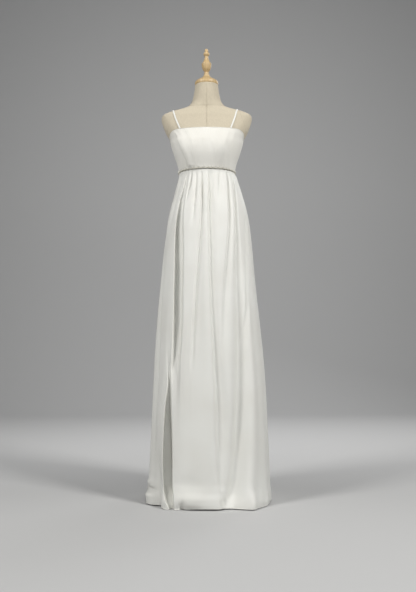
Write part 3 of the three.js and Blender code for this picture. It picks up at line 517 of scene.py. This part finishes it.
def wavy(values, seed, count):
    """Seeded smooth noise in [-1, 1] from a few sines, over one axis in periods."""
    rng = np.random.default_rng(seed)
    total = np.zeros_like(np.asarray(values, float))
    for _ in range(count):
        total += np.sin(values * rng.uniform(0.6, 1.7) + rng.uniform(0, 6.28))
    return total / count


def neck_seam_height(turn):
    return NECK_SEAM_Z - NECK_SEAM_DIP * np.cos(np.radians(turn))


def ripple_depth(turn, z):
    """Long low ripples of hanging satin."""
    t = level_turn(turn)
    fall = smooth_step(1240, 950, z) * smooth_step(0, 8, 180 - np.abs(t))
    first = wavy(t / 3.1 + 0.6 * np.sin(z / 260), 21, 4) * np.cos(z / 330 + t / 40)
    second = wavy(t / 6.3 - 0.5 * np.sin(z / 190), 33, 4)
    return fall * (1.1 * first + 1.6 * second)


def hem_break(turn, z):
    """The cloth's break on the floor: a soft swell, crumples and the edge turned under."""
    t = level_turn(turn)
    low = smooth_step(120, 20, z) * smooth_step(0, 8, 180 - np.abs(t))
    swell = 0.6 + 2 * wavy(t / 14, 41, 4)
    crumple = wavy(t / 4.4 + z / 16, 55, 4) * wavy(t / 6 - z / 11, 57, 4)
    under = 1.5 * smooth_step(12, 2, z)
    return swell * low * np.exp(-(((z - 34) / 26) ** 2)) + 4 * low * crumple - under


def skirt_points(turn, z):
    points = section_points(SKIRT_SECTIONS, SKIRT_KEYS, turn, z)
    points[..., 0] += column(SKIRT_SECTIONS, SKIRT_KEYS, "lean", z)
    reach = np.hypot(points[..., 0], points[..., 1])
    inward = fold_depth(turn, z) + crease_depth(turn, z) + gather_depth(turn, z) + ripple_depth(turn, z)
    points[..., :2] *= ((reach - inward + hem_break(turn, z)) / reach)[..., None]
    points[..., 1] += slot_depth(turn, z)
    reach = np.hypot(points[..., 0], points[..., 1])
    least = np.where(points[..., 2] > TORSO_BOTTOM - 20, form_reach(points) + FORM_CLEARANCE, 0)
    kept = (reach + least + np.hypot(reach - least, 4)) / 2
    kept = np.where(least > 0, kept, reach)
    points[..., :2] *= (kept / reach)[..., None]
    return points


def column_turn(columns, z):
    """The turns at height z of columns given by their turns at mid height."""
    middle = FOLD_HEIGHTS[2]
    knots = [(turn, turn) for turn in (-90, 90, 180, 270)]
    for turns, _, _, _, guide in FOLDS:
        if guide:
            knots.append((turns[2], float(fold_value(turns, z))))
    for crease in FRONT_CREASES:
        if crease["guide"]:
            knots.append(tuple(float(crease_value(crease, "turn", height)) for height in (middle, z)))
    for slot in SLOTS:
        for edge in ("left", "right"):
            knots.append(tuple(float(crease_value(slot, edge, height)) for height in (middle, z)))
    knots.sort()
    return np.interp(columns, [knot[0] for knot in knots], [knot[1] for knot in knots])


# Mesh helpers.
def mesh_object(name, points, faces):
    mesh = bpy.data.meshes.new(name)
    mesh.from_pydata([tuple(p) for p in np.asarray(points, float) * MM], [], faces)
    mesh.validate()
    mesh.update()
    mesh.shade_smooth()
    obj = bpy.data.objects.new(name, mesh)
    bpy.context.scene.collection.objects.link(obj)
    return obj


def grid_faces(rows, columns, closed=False):
    faces = []
    for i in range(rows - 1):
        for j in range(columns if closed else columns - 1):
            a = i * columns + j
            b = i * columns + (j + 1) % columns
            faces.append((a, b, b + columns, a + columns))
    return faces


def end_faces(last, sides):
    """The faces that close a run of rings at both ends. The last ring's points start at last."""
    return [tuple(range(sides))[::-1], tuple(range(last, last + sides))]


def grid_object(name, grid, closed=False):
    rows, columns = grid.shape[:2]
    return mesh_object(name, grid.reshape(-1, 3), grid_faces(rows, columns, closed))


def thicken(obj, thickness):
    solidify = obj.modifiers.new("cloth", "SOLIDIFY")
    solidify.thickness = thickness * MM
    solidify.offset = -1
    solidify.use_even_offset = False
    return obj


def tube_object(name, path, radius, sides, closed=False):
    """A tube along a path of points."""
    path = np.asarray(path, float)
    if closed:
        ahead, behind = np.roll(path, -1, 0), np.roll(path, 1, 0)
    else:
        ahead, behind = np.vstack([path[1:], path[-1:]]), np.vstack([path[:1], path[:-1]])
    along = ahead - behind
    along /= np.linalg.norm(along, axis=1, keepdims=True)
    out = path * [1, 1, 0]
    out -= along * (out * along).sum(1, keepdims=True)
    out /= np.linalg.norm(out, axis=1, keepdims=True)
    side = np.cross(along, out)
    angles = np.linspace(0, 2 * np.pi, sides, endpoint=False)
    ring = np.cos(angles)[None, :, None] * out[:, None] + np.sin(angles)[None, :, None] * side[:, None]
    points = (path[:, None] + radius * ring).reshape(-1, 3)
    faces = grid_faces(len(path), sides, closed=True)
    last = (len(path) - 1) * sides
    if closed:
        faces += [(last + k, last + (k + 1) % sides, (k + 1) % sides, k) for k in range(sides)]
    else:
        faces += end_faces(last, sides)
    return mesh_object(name, points, faces)


def lathe_object(name, profile, base_z, sides=96, smooth_steps=5):
    """A turned solid through a smooth curve of its profile's radii and heights."""
    profile = np.array(profile, float)
    count = len(profile)
    fine = np.linspace(0, count - 1, (count - 1) * smooth_steps + 1)
    rows = [(float(k), *profile[k]) for k in range(count)]
    radii = column(rows, ("z", "r", "h"), "r", fine)
    heights = column(rows, ("z", "r", "h"), "h", fine)
    angles = np.linspace(0, 2 * np.pi, sides, endpoint=False)
    ring = np.stack([np.cos(angles), np.sin(angles)], -1)
    points = np.concatenate(
        [np.concatenate([ring * r, np.full((sides, 1), base_z + h)], 1) for r, h in zip(radii, heights)]
    )
    faces = grid_faces(len(fine), sides, closed=True)
    faces += end_faces((len(fine) - 1) * sides, sides)
    return mesh_object(name, points, faces)


# Materials.
LINEN_LIGHT = (0.59, 0.525, 0.41)
LINEN_DARK = (0.55, 0.49, 0.38)
WOOD_LIGHT = (0.58, 0.42, 0.22)
WOOD_DARK = (0.5, 0.35, 0.17)


def new_material(name, base, roughness, **sockets):
    material = bpy.data.materials.new(name)
    material.use_nodes = True
    tree = material.node_tree
    shader = tree.nodes["Principled BSDF"]
    shader.inputs["Base Color"].default_value = (*base, 1)
    shader.inputs["Roughness"].default_value = roughness
    for key, value in sockets.items():
        shader.inputs[key.replace("_", " ")].default_value = value
    return material, tree, shader


def add_node(tree, kind, links=(), **values):
    node = tree.nodes.new(kind)
    for key, value in values.items():
        if hasattr(node, key) and key not in node.inputs:
            setattr(node, key, value)
        else:
            node.inputs[key.replace("_", " ")].default_value = value
    for socket, source in links:
        tree.links.new(source, node.inputs[socket])
    return node


def object_coordinates(tree, scale=(1, 1, 1)):
    place = add_node(tree, "ShaderNodeTexCoord")
    return add_node(tree, "ShaderNodeMapping", [("Vector", place.outputs["Object"])], Scale=scale)


def noise(tree, scale, detail, rise=1.0):
    """A noise's value over the object, drawn out along Z where rise is below 1."""
    place = object_coordinates(tree, (1, 1, rise)).outputs[0]
    node = add_node(tree, "ShaderNodeTexNoise", [("Vector", place)], Scale=scale, Detail=detail)
    return node.outputs["Fac"]


def bands(tree, scale, distortion, direction, rise=1.0):
    """A wave's value over the object, drawn out along Z where rise is below 1."""
    place = object_coordinates(tree, (1, 1, rise)).outputs[0]
    node = add_node(
        tree, "ShaderNodeTexWave", [("Vector", place)], Scale=scale, Distortion=distortion,
        bands_direction=direction,
    )
    return node.outputs["Fac"]


def product(tree, first, second):
    return add_node(tree, "ShaderNodeMath", [(0, first), (1, second)], operation="MULTIPLY").outputs[0]


def two_tone(tree, factor, dark, light, shader, low=0.35, high=0.65):
    ramp = add_node(tree, "ShaderNodeValToRGB", [("Fac", factor)])
    ramp.color_ramp.elements[0].position = low
    ramp.color_ramp.elements[1].position = high
    ramp.color_ramp.elements[0].color = (*dark, 1)
    ramp.color_ramp.elements[1].color = (*light, 1)
    tree.links.new(ramp.outputs["Color"], shader.inputs["Base Color"])


def rough_range(tree, factor, low, high, shader):
    spread = add_node(tree, "ShaderNodeMapRange", [("Value", factor)], To_Min=low, To_Max=high)
    tree.links.new(spread.outputs["Result"], shader.inputs["Roughness"])


def stack_bumps(tree, shader, bumps):
    """bumps are (height output, strength, distance in metres), the finest last."""
    normal = None
    for height, strength, distance in bumps:
        node = add_node(tree, "ShaderNodeBump", [("Height", height)], Strength=strength, Distance=distance)
        if normal:
            tree.links.new(normal, node.inputs["Normal"])
        normal = node.outputs["Normal"]
    tree.links.new(normal, shader.inputs["Normal"])


def satin_material(name, light, dark, roughness, crease):
    """Woven satin: fine twill ribs, slubs along the warp and long soft creases."""
    material, tree, shader = new_material(
        name, light, roughness, Sheen_Weight=0.03, Sheen_Roughness=0.4, Specular_IOR_Level=0.15,
    )
    slub = noise(tree, 420, 2, 0.08)
    two_tone(tree, noise(tree, 7, 2), dark, light, shader)
    rough_range(tree, slub, roughness - 0.06, roughness + 0.06, shader)
    long = (noise(tree, 26, 3, 0.12), 0.35, crease)
    twill = (bands(tree, 620, 0.6, "DIAGONAL"), 0.18, 0.0001)
    stack_bumps(tree, shader, [long, (slub, 0.25, 0.0002), twill])
    return material


def linen_material():
    """Plain linen: crossing threads of uneven thickness, with faint slubs."""
    material, tree, shader = new_material(
        "linen", LINEN_LIGHT, 0.85, Sheen_Weight=0.15, Sheen_Roughness=0.5, Specular_IOR_Level=0.2,
    )
    weave = product(tree, bands(tree, 260, 1.2, "Z"), bands(tree, 260, 1.2, "X"))
    slub = noise(tree, 260, 3, 0.3)
    two_tone(tree, slub, LINEN_DARK, LINEN_LIGHT, shader)
    rough_range(tree, slub, 0.78, 0.92, shader)
    stack_bumps(tree, shader, [(slub, 0.2, 0.0003), (weave, 0.5, 0.0003)])
    return material


def wood_material():
    """Light turned wood: stretched grain, faint growth rings and a clear lacquer."""
    material, tree, shader = new_material(
        "turned_wood", WOOD_LIGHT, 0.45, Coat_Weight=0.15, Coat_Roughness=0.35,
    )
    grain = noise(tree, 130, 5, 0.14)
    mixed = product(tree, grain, bands(tree, 30, 5, "X", 0.2))
    two_tone(tree, mixed, WOOD_LIGHT, WOOD_DARK, shader, 0.05, 0.75)
    rough_range(tree, grain, 0.4, 0.56, shader)
    stack_bumps(tree, shader, [(grain, 0.15, 0.0004)])
    return material


def metal_material(name, base, roughness, metallic):
    material, tree, shader = new_material(name, base, roughness, Metallic=metallic)
    scratch = noise(tree, 300, 2, 0.02)
    rough_range(tree, scratch, roughness - 0.08, roughness + 0.1, shader)
    two_tone(tree, scratch, tuple(0.85 * c for c in base), base, shader)
    stack_bumps(tree, shader, [(scratch, 0.1, 0.0002)])
    return material


def thread_material(name, base, roughness, **sockets):
    material, tree, shader = new_material(name, base, roughness, **sockets)
    fuzz = noise(tree, 900, 2)
    two_tone(tree, fuzz, tuple(0.8 * c for c in base), base, shader)
    rough_range(tree, fuzz, roughness - 0.05, roughness + 0.1, shader)
    stack_bumps(tree, shader, [(fuzz, 0.3, 0.0003)])
    return material


satin = satin_material("satin", (0.8, 0.8, 0.765), (0.77, 0.765, 0.725), 0.5, 0.0012)
crinkled = satin_material("crinkled_satin", (0.8, 0.79, 0.745), (0.76, 0.745, 0.695), 0.55, 0.001)
linen = linen_material()
wood = wood_material()
steel = metal_material("brushed_steel", (0.6, 0.6, 0.62), 0.32, 1)
iron = metal_material("black_enamel", (0.035, 0.035, 0.04), 0.4, 0.2)
cord_thread = thread_material("braid_thread", (0.68, 0.65, 0.56), 0.6)
pearl = thread_material("pearl_bead", (0.68, 0.66, 0.58), 0.25, Coat_Weight=0.3)
smoke = thread_material("smoke_bead", (0.6, 0.58, 0.5), 0.2, Coat_Weight=0.5)
seam_thread = thread_material("seam_thread", (0.52, 0.455, 0.35), 0.8)


def finish_piece(obj, material, slot, *replaced):
    obj.data.materials.append(material)
    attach(obj, "root")
    if replaced:
        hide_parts(*replaced)
    return obj


# The dress form.
def torso_piece():
    columns, rows = 240, 190
    turns = np.linspace(0, 360, columns, endpoint=False)
    turn, z = np.meshgrid(turns, np.linspace(TORSO_BOTTOM, NECK_TOP, rows))
    side = np.abs(level_turn(turn))
    grooves = [
        (side, 0.55, z < 1640),
        (180 - side, 0.55, z < 1640),
        (np.abs(side - 90), 0.7, z < 1500),
    ]
    depth = sum(SEAM_GROOVE * np.exp(-((away / width) ** 2)) * keep for away, width, keep in grooves)
    depth = depth + NECK_SEAM_GROOVE * np.exp(-(((z - neck_seam_height(turn)) / 1.8) ** 2))
    points = form_points(turn, z) - outward_of(form_points, turn, z) * depth[..., None]
    faces = grid_faces(rows, columns, closed=True) + end_faces((rows - 1) * columns, columns)
    whole = mesh_object("torso_cover_whole", points.reshape(-1, 3), faces)
    return finish_piece(whole, linen, "linen", "form_torso")


def seam_piece(name, turns, zs, closed=False):
    path = form_points(np.broadcast_to(turns, zs.shape), zs)
    return finish_piece(tube_object(name, path, SEAM_RADIUS, 6, closed), seam_thread, "linen")


def arm_seam(name, sign):
    """The seam round a shoulder's padded cap, front and back."""
    zs = np.linspace(ARM_SEAM_LOW, ARM_SEAM_TOP, 60)
    place = ARM_SEAM_TOP_X + ARM_SEAM_SPREAD * smooth_step(ARM_SEAM_TOP - 4, ARM_SEAM_LOW - 2, zs)
    ratio = np.minimum(place / column(FORM_SECTIONS, FORM_KEYS, "half", zs), 1)
    turns = np.degrees(np.arcsin(ratio ** (column(FORM_SECTIONS, FORM_KEYS, "power", zs) / 2)))
    seam_piece(name, sign * np.concatenate([turns, 180 - turns[::-1]]), np.concatenate([zs, zs[::-1]]))


torso = torso_piece()
for name, turn, top, count in (
    ("seam_front", 0.0, NECK_TOP - 4, 140),
    ("seam_back", 180.0, NECK_TOP - 4, 140),
    ("seam_right", 90.0, SHOULDER_SEAM_Z, 130),
    ("seam_left", 270.0, SHOULDER_SEAM_Z, 130),
):
    seam_piece(name, turn, np.linspace(TORSO_BOTTOM + 4, top, count))
arm_seam("seam_arm_right", 1)
arm_seam("seam_arm_left", -1)
ring = np.linspace(0, 360, 160, endpoint=False)
seam_piece("seam_neck", ring, neck_seam_height(ring), closed=True)
finish_piece(lathe_object("neck_cap_turned", CAP_PROFILE, NECK_TOP + TURNED_LIFT), wood, "wood", "neck_cap")
finish_piece(lathe_object("finial_turned", FINIAL_PROFILE, NECK_TOP + TURNED_LIFT), wood, "wood", "finial")
for node, material in (("stand_foot", iron), ("stand_pole", steel), ("pole_socket", iron)):
    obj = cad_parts[node]
    obj.data.materials.clear()
    obj.data.materials.append(material)
    obj.data.shade_smooth()

# The bodice.
def crinkle(turn, z, seed):
    """Fine pressed pleats of uneven width that wander, fade and start again up the bodice."""
    wander = 6 * wavy(turn / 4.6 + z / 85, seed, 5) + 3 * wavy(turn / 1.7 - z / 34, seed + 1, 5)
    ridge = 0.5 + 0.5 * np.cos(turn * CRINKLE_RATE + wander)
    size = 0.5 + 1.3 * wavy(turn / 2.3 + z / 16, seed + 2, 5)
    broad = 0.7 * wavy(turn / 3.4 + z / 260, seed + 3, 4)
    return CRINKLE_HEIGHT * np.clip(size, 0.1, 1.2) * ridge + broad - 0.6


def bust_folds(turn, z):
    """The ridge that drops from the left cup's outer edge towards the waist seam, steeper on its left side,
    and a shallow dent below the right cup.
    """
    height = smooth_step(WAIST_Z, WAIST_Z + 25, z) * smooth_step(1452, 1410, z)
    left = level_turn(turn + 36 + 10 * smooth_step(1300, 1430, z))
    right = away_from(turn, 42 - 8 * smooth_step(1310, 1400, z))
    ridge = np.exp(-((left / np.where(left < 0, 3.2, 13)) ** 2))
    return height * (BUST_RIDGE * ridge - BUST_DENT * np.exp(-((right / 4) ** 2)))


def bodice_piece(name, start, end, columns, rows, seed, node):
    turns = np.linspace(start + SEAM_EDGE, end - SEAM_EDGE, columns)
    turn, share = np.meshgrid(turns, np.linspace(0, 1, rows))
    z = waist_height(turn) + WAIST_EDGE + share * (top_edge_height(turn) - waist_height(turn) - WAIST_EDGE)
    edge = smooth_step(0, 0.05, share) * smooth_step(1, 0.97, share)
    out = np.maximum(crinkle(turn, z, seed) * (0.35 + 0.65 * edge) + bust_folds(turn, z), CRINKLE_FLOOR)
    obj = thicken(grid_object(name, bodice_points(turn, z, out)), CLOTH)
    return finish_piece(obj, crinkled, "crinkled_satin", node)


bodice_front = bodice_piece("bodice_front_cloth", -90, 90, 460, 64, 3, "bodice_front")
bodice_back_right = bodice_piece("bodice_back_right_cloth", 90, 180, 230, 48, 13, "bodice_back_right")
bodice_back_left = bodice_piece("bodice_back_left_cloth", 180, 270, 230, 48, 23, "bodice_back_left")

# The skirt.
SKIRT_ROW_SHARES = np.concatenate([
    np.linspace(0, 0.09, 24)[:-1], np.linspace(0.09, 0.8, 54)[:-1], np.linspace(0.8, 1, 46),
])


def skirt_piece(name, spots, node):
    edges = SKIRT_SEAM_EDGE * np.array([1] + [0] * (len(spots) - 2) + [-1])
    rows = []
    for share in SKIRT_ROW_SHARES:
        turn = column_turn(spots, float(share * WAIST_Z)) + edges
        top = waist_height(turn) - WAIST_EDGE
        z = hem_height(turn) + share * (top - hem_height(turn))
        rows.append(skirt_points(turn, z))
    obj = thicken(grid_object(name, np.array(rows)), CLOTH)
    return finish_piece(obj, satin, "satin", node), np.array(rows)


# More columns where the left folds are, at mid height.
front_spots = np.concatenate([
    np.linspace(-90, -52, 56)[:-1], np.linspace(-52, -24, 154)[:-1], np.linspace(-24, 90, 190),
])
skirt_front, front_grid = skirt_piece("skirt_front_cloth", front_spots, "skirt_front")
(skirt_back_right, right_grid), (skirt_back_left, left_grid) = (
    skirt_piece(f"{node}_cloth", np.linspace(start, start + 90, 190), node)
    for node, start in (("skirt_back_right", 90), ("skirt_back_left", 180))
)
hem_path = np.concatenate([grid[0][:-1] for grid in (front_grid, right_grid, left_grid)]) + [0, 0, HEM_ROLL]
skirt_hem = finish_piece(tube_object("skirt_hem_roll", hem_path, HEM_ROLL, 8, closed=True), satin, "satin")

# The waist braid: a frilled edge, two twisted cords and rows of beads.
def braid_turns(count):
    return np.linspace(-BRAID_END_TURN, BRAID_END_TURN, count)


def braid_sway(turns):
    return BRAID_SWAY * np.sin(np.radians(turns) * BRAID_SWAYS + wavy(turns / 9, 63, 3))


def braid_frill():
    turns = braid_turns(900)
    turn, share = np.meshgrid(turns, np.linspace(0, 1, 6))
    wave = np.sin(np.radians(turn) * FRILL_WAVES + 1.4 * wavy(turn / 7, 61, 4))
    z = waist_height(turn) + 4 + share * (6.5 + 1.1 * wavy(turn / 3, 62, 4))
    out = 2.4 + share * (1.6 + 1.5 * wave)
    return thicken(grid_object("braid_frill", bodice_points(turn, z, out)), THIN_CLOTH)


def braid_cord(name, phase):
    turns = braid_turns(1500)
    twist = np.radians(turns) * CORD_TWISTS + phase
    line = waist_height(turns) + BRAID_RISE + braid_sway(turns)
    points = bodice_points(turns, line + np.cos(twist), 2.6 + np.sin(twist))
    return tube_object(name, points, CORD_RADIUS, 6)


def beads(name, count, radius, rise, out, seed, jitter):
    rng = np.random.default_rng(seed)
    turns = braid_turns(count) + rng.uniform(-jitter, jitter, count)
    turns = np.clip(turns, 0.2 - BRAID_END_TURN, BRAID_END_TURN - 0.2)
    line = waist_height(turns) + rise + braid_sway(turns)
    centres = bodice_points(turns, line + rng.uniform(-0.5, 0.5, count), out)
    sides, levels = 8, 6
    points, faces = [], []
    for centre in centres:
        first = len(points)
        size = radius * rng.uniform(0.85, 1.1)
        for level in range(1, levels):
            tilt = math.pi * level / levels
            for k in range(sides):
                angle = 2 * math.pi * k / sides
                way = (math.sin(tilt) * math.cos(angle), math.sin(tilt) * math.sin(angle), math.cos(tilt))
                points.append(centre + size * np.array(way))
        top, bottom = len(points), len(points) + 1
        points += [centre + [0, 0, size], centre - [0, 0, size]]
        for level in range(levels - 2):
            for k in range(sides):
                a = first + level * sides + k
                b = first + level * sides + (k + 1) % sides
                faces.append((a, a + sides, b + sides, b))
        last = first + (levels - 2) * sides
        for k in range(sides):
            faces.append((top, first + k, first + (k + 1) % sides))
            faces.append((bottom, last + (k + 1) % sides, last + k))
    return mesh_object(name, points, faces)


frill = finish_piece(braid_frill(), crinkled, "crinkled_satin")
cord_one = finish_piece(braid_cord("braid_cord_one", 0), cord_thread, "beaded_braid", "waist_trim")
cord_two = finish_piece(braid_cord("braid_cord_two", math.pi), cord_thread, "beaded_braid")
pearls = finish_piece(beads("braid_pearls", 150, 1.5, BRAID_RISE, 4.2, 71, 0.5), pearl, "beaded_braid")
seeds = finish_piece(beads("braid_seed_beads", 190, 0.9, 1.8, 3, 73, 0.5), smoke, "beaded_braid")

# The straps: flat satin rolls laid over the shoulders by rays on the form's solid.
form_tree = BVHTree.FromPolygons(
    [v.co for v in torso.data.vertices], [tuple(face.vertices) for face in torso.data.polygons],
)


def strap_path(side, front_turn, back_turn, shoulder):
    """The middle line of a strap, from the front top edge over the shoulder to the back top edge."""
    front = bodice_points(np.array(float(front_turn)), top_edge_height(front_turn))
    back = bodice_points(np.array(float(back_turn)), top_edge_height(back_turn))
    start = math.atan2(-STRAP_FOOT_DROP, STRAP_AXIS_Y - front[1])
    end = math.pi - math.atan2(back[2] - STRAP_FOOT_DROP - front[2], back[1] - STRAP_AXIS_Y)
    path = []
    for k in range(STRAP_STEPS + 1):
        share = k / STRAP_STEPS
        angle = start + (end - start) * share
        ends = front[0] + (back[0] - front[0]) * share
        x = side * (ends + (shoulder - (front[0] + back[0]) / 2) * math.sin(math.pi * share))
        way = Vector((0, -math.cos(angle), math.sin(angle)))
        middle = Vector((x, STRAP_AXIS_Y, front[2])) * MM
        hit = form_tree.ray_cast(middle + way * 0.4, -way)[0]
        lift = STRAP_REST + STRAP_FOOT_LIFT * abs(2 * share - 1) ** 8
        path.append(hit / MM + way * lift)
    return np.array([tuple(p) for p in path])


def strap_object(name, path):
    """A flattened roll along a path, lying on the form's skin."""
    along = np.gradient(path, axis=0)
    along /= np.linalg.norm(along, axis=1, keepdims=True)
    out = []
    for point in path:
        out.append(tuple(form_tree.find_nearest(Vector(point) * MM)[1]))
    out = np.array(out)
    kernel = np.ones(9) / 9
    padded = np.vstack([out[:1]] * 4 + [out] + [out[-1:]] * 4)
    out = np.stack([np.convolve(padded[:, axis], kernel, "valid") for axis in range(3)], 1)
    out -= along * (out * along).sum(1, keepdims=True)
    out /= np.linalg.norm(out, axis=1, keepdims=True)
    side = np.cross(along, out)
    sides = 16
    angles = np.linspace(0, 2 * np.pi, sides, endpoint=False)
    across, up = STRAP_HALF_WIDTH * np.cos(angles), STRAP_HALF_THICK * np.sin(angles)
    shape = np.stack([across, up + 0.12 * np.cos(2 * angles)], -1)
    points = path[:, None] + shape[None, :, :1] * side[:, None] + shape[None, :, 1:] * out[:, None]
    faces = grid_faces(len(path), sides, closed=True)
    faces += end_faces((len(path) - 1) * sides, sides)
    return mesh_object(name, points.reshape(-1, 3), faces)


strap_right, strap_left = (
    finish_piece(strap_object(f"{node}_roll", strap_path(*line)), satin, "satin", node)
    for node, line in (("strap_right", (1, 29, 147, 128)), ("strap_left", (-1, 34, 147, 140)))
)

# The bound top edge.
edge_turns = np.linspace(-179.6, 179.6, 700)
edge_path = bodice_points(edge_turns, top_edge_height(edge_turns) - 0.4, np.full(len(edge_turns), -0.1))
binding = tube_object("bodice_top_binding", edge_path, BINDING_RADIUS, 8)
top_binding = finish_piece(binding, crinkled, "crinkled_satin")

# The closed concealed zip: two lips of cloth meeting down the centre back.
def zip_piece():
    offsets = np.array([-2, -1.6, -0.9, -0.25, 0, 0.25, 0.9, 1.6, 2])
    rise = np.array([0.1, 0.7, 1.1, 0.9, 0.2, 0.9, 1.1, 0.7, 0.1])
    rows = []
    for z in np.linspace(ZIP_BOTTOM, BACK_NECK_Z, 120):
        surface = bodice_points if z > WAIST_Z else skirt_points
        middle = max(surface(np.array([t]), np.array([z]))[0][1] for t in (178.6, 179.3, 180.7, 181.4))
        seam = 1.2 + 2.6 * math.exp(-(((z - WAIST_Z - 3) / 7) ** 2))
        rows.append(np.stack([-offsets, middle + seam + rise, np.full(len(offsets), z)], -1))
    lips = thicken(grid_object("back_zip_lips", np.array(rows)), THIN_CLOTH)
    return finish_piece(lips, satin, "satin", "back_zip")


back_zip = zip_piece()

# The studio.
def area_light(name, place, target, size, watts, colour=(1, 1, 1)):
    data = bpy.data.lights.new(name, "AREA")
    data.energy = watts
    data.size = size
    data.color = colour
    obj = bpy.data.objects.new(name, data)
    obj.location = place
    obj.rotation_euler = (Vector(target) - Vector(place)).to_track_quat("-Z", "Y").to_euler()
    bpy.context.scene.collection.objects.link(obj)


MIDDLE = (0, 0, 1.0)
WARM = (1, 0.99, 0.965)
COOL = (0.97, 0.985, 1)
area_light("right softbox", (2.25, -2.2, 3.3), MIDDLE, 0.8, 104, WARM)
area_light("left softbox", (-2.4, -2.0, 3.3), MIDDLE, 1.0, 86, WARM)
area_light("front", (0.5, -4.2, 2.6), MIDDLE, 1.2, 18, COOL)
area_light("backdrop", (0, 0.9, 2.9), (0, 5.8, 1.6), 2, 70)
area_light("back", (1.8, 2.9, 3.0), MIDDLE, 1.4, 26)

world = bpy.data.worlds.new("studio")
world.use_nodes = True
world.node_tree.nodes["Background"].inputs["Color"].default_value = (0.9, 0.95, 1, 1)
world.node_tree.nodes["Background"].inputs["Strength"].default_value = 0.06
bpy.context.scene.world = world

# A seamless paper sweep: a pale floor that curves up behind the stand.
SWEEP_HALF_WIDTH = 7
SWEEP_FRONT = -6
SWEEP_BACK = 3.6
SWEEP_RADIUS = 2.4
SWEEP_TOP = 7
SWEEP_STEPS = 24


def paper_sweep():
    line = [(SWEEP_FRONT, 0), (SWEEP_BACK, 0)]
    for k in range(1, SWEEP_STEPS + 1):
        angle = math.radians(90 * k / SWEEP_STEPS)
        line.append((SWEEP_BACK + SWEEP_RADIUS * math.sin(angle), SWEEP_RADIUS * (1 - math.cos(angle))))
    line.append((SWEEP_BACK + SWEEP_RADIUS, SWEEP_TOP))
    grid = np.array([[(x, y, z) for x in (-SWEEP_HALF_WIDTH, SWEEP_HALF_WIDTH)] for y, z in line]) / MM
    sweep = grid_object("paper_sweep", grid)
    sweep.data.materials.append(new_material("pale_paper", (0.55, 0.55, 0.55), 0.8)[0])


paper_sweep()

# The camera, low and level with the hips, tilted up a little.
CAMERA_PLACE = (0.002, -3.1, 0.605)
CAMERA_PITCH = 3.618
CAMERA_ROLL = -0.25
SENSOR = 36
LENS = 47.128
camera_data = bpy.data.cameras.new("camera")
camera_data.sensor_fit = "AUTO"
camera_data.sensor_width = SENSOR
camera_data.lens = LENS
camera = bpy.data.objects.new("camera", camera_data)
pitch = Matrix.Rotation(math.radians(90 + CAMERA_PITCH), 4, "X")
roll = Matrix.Rotation(math.radians(CAMERA_ROLL), 4, "Z")
camera.matrix_world = Matrix.Translation(CAMERA_PLACE) @ (pitch @ roll)
bpy.context.scene.collection.objects.link(camera)
bpy.context.scene.camera = camera
bpy.context.scene.view_settings.view_transform = "Standard"
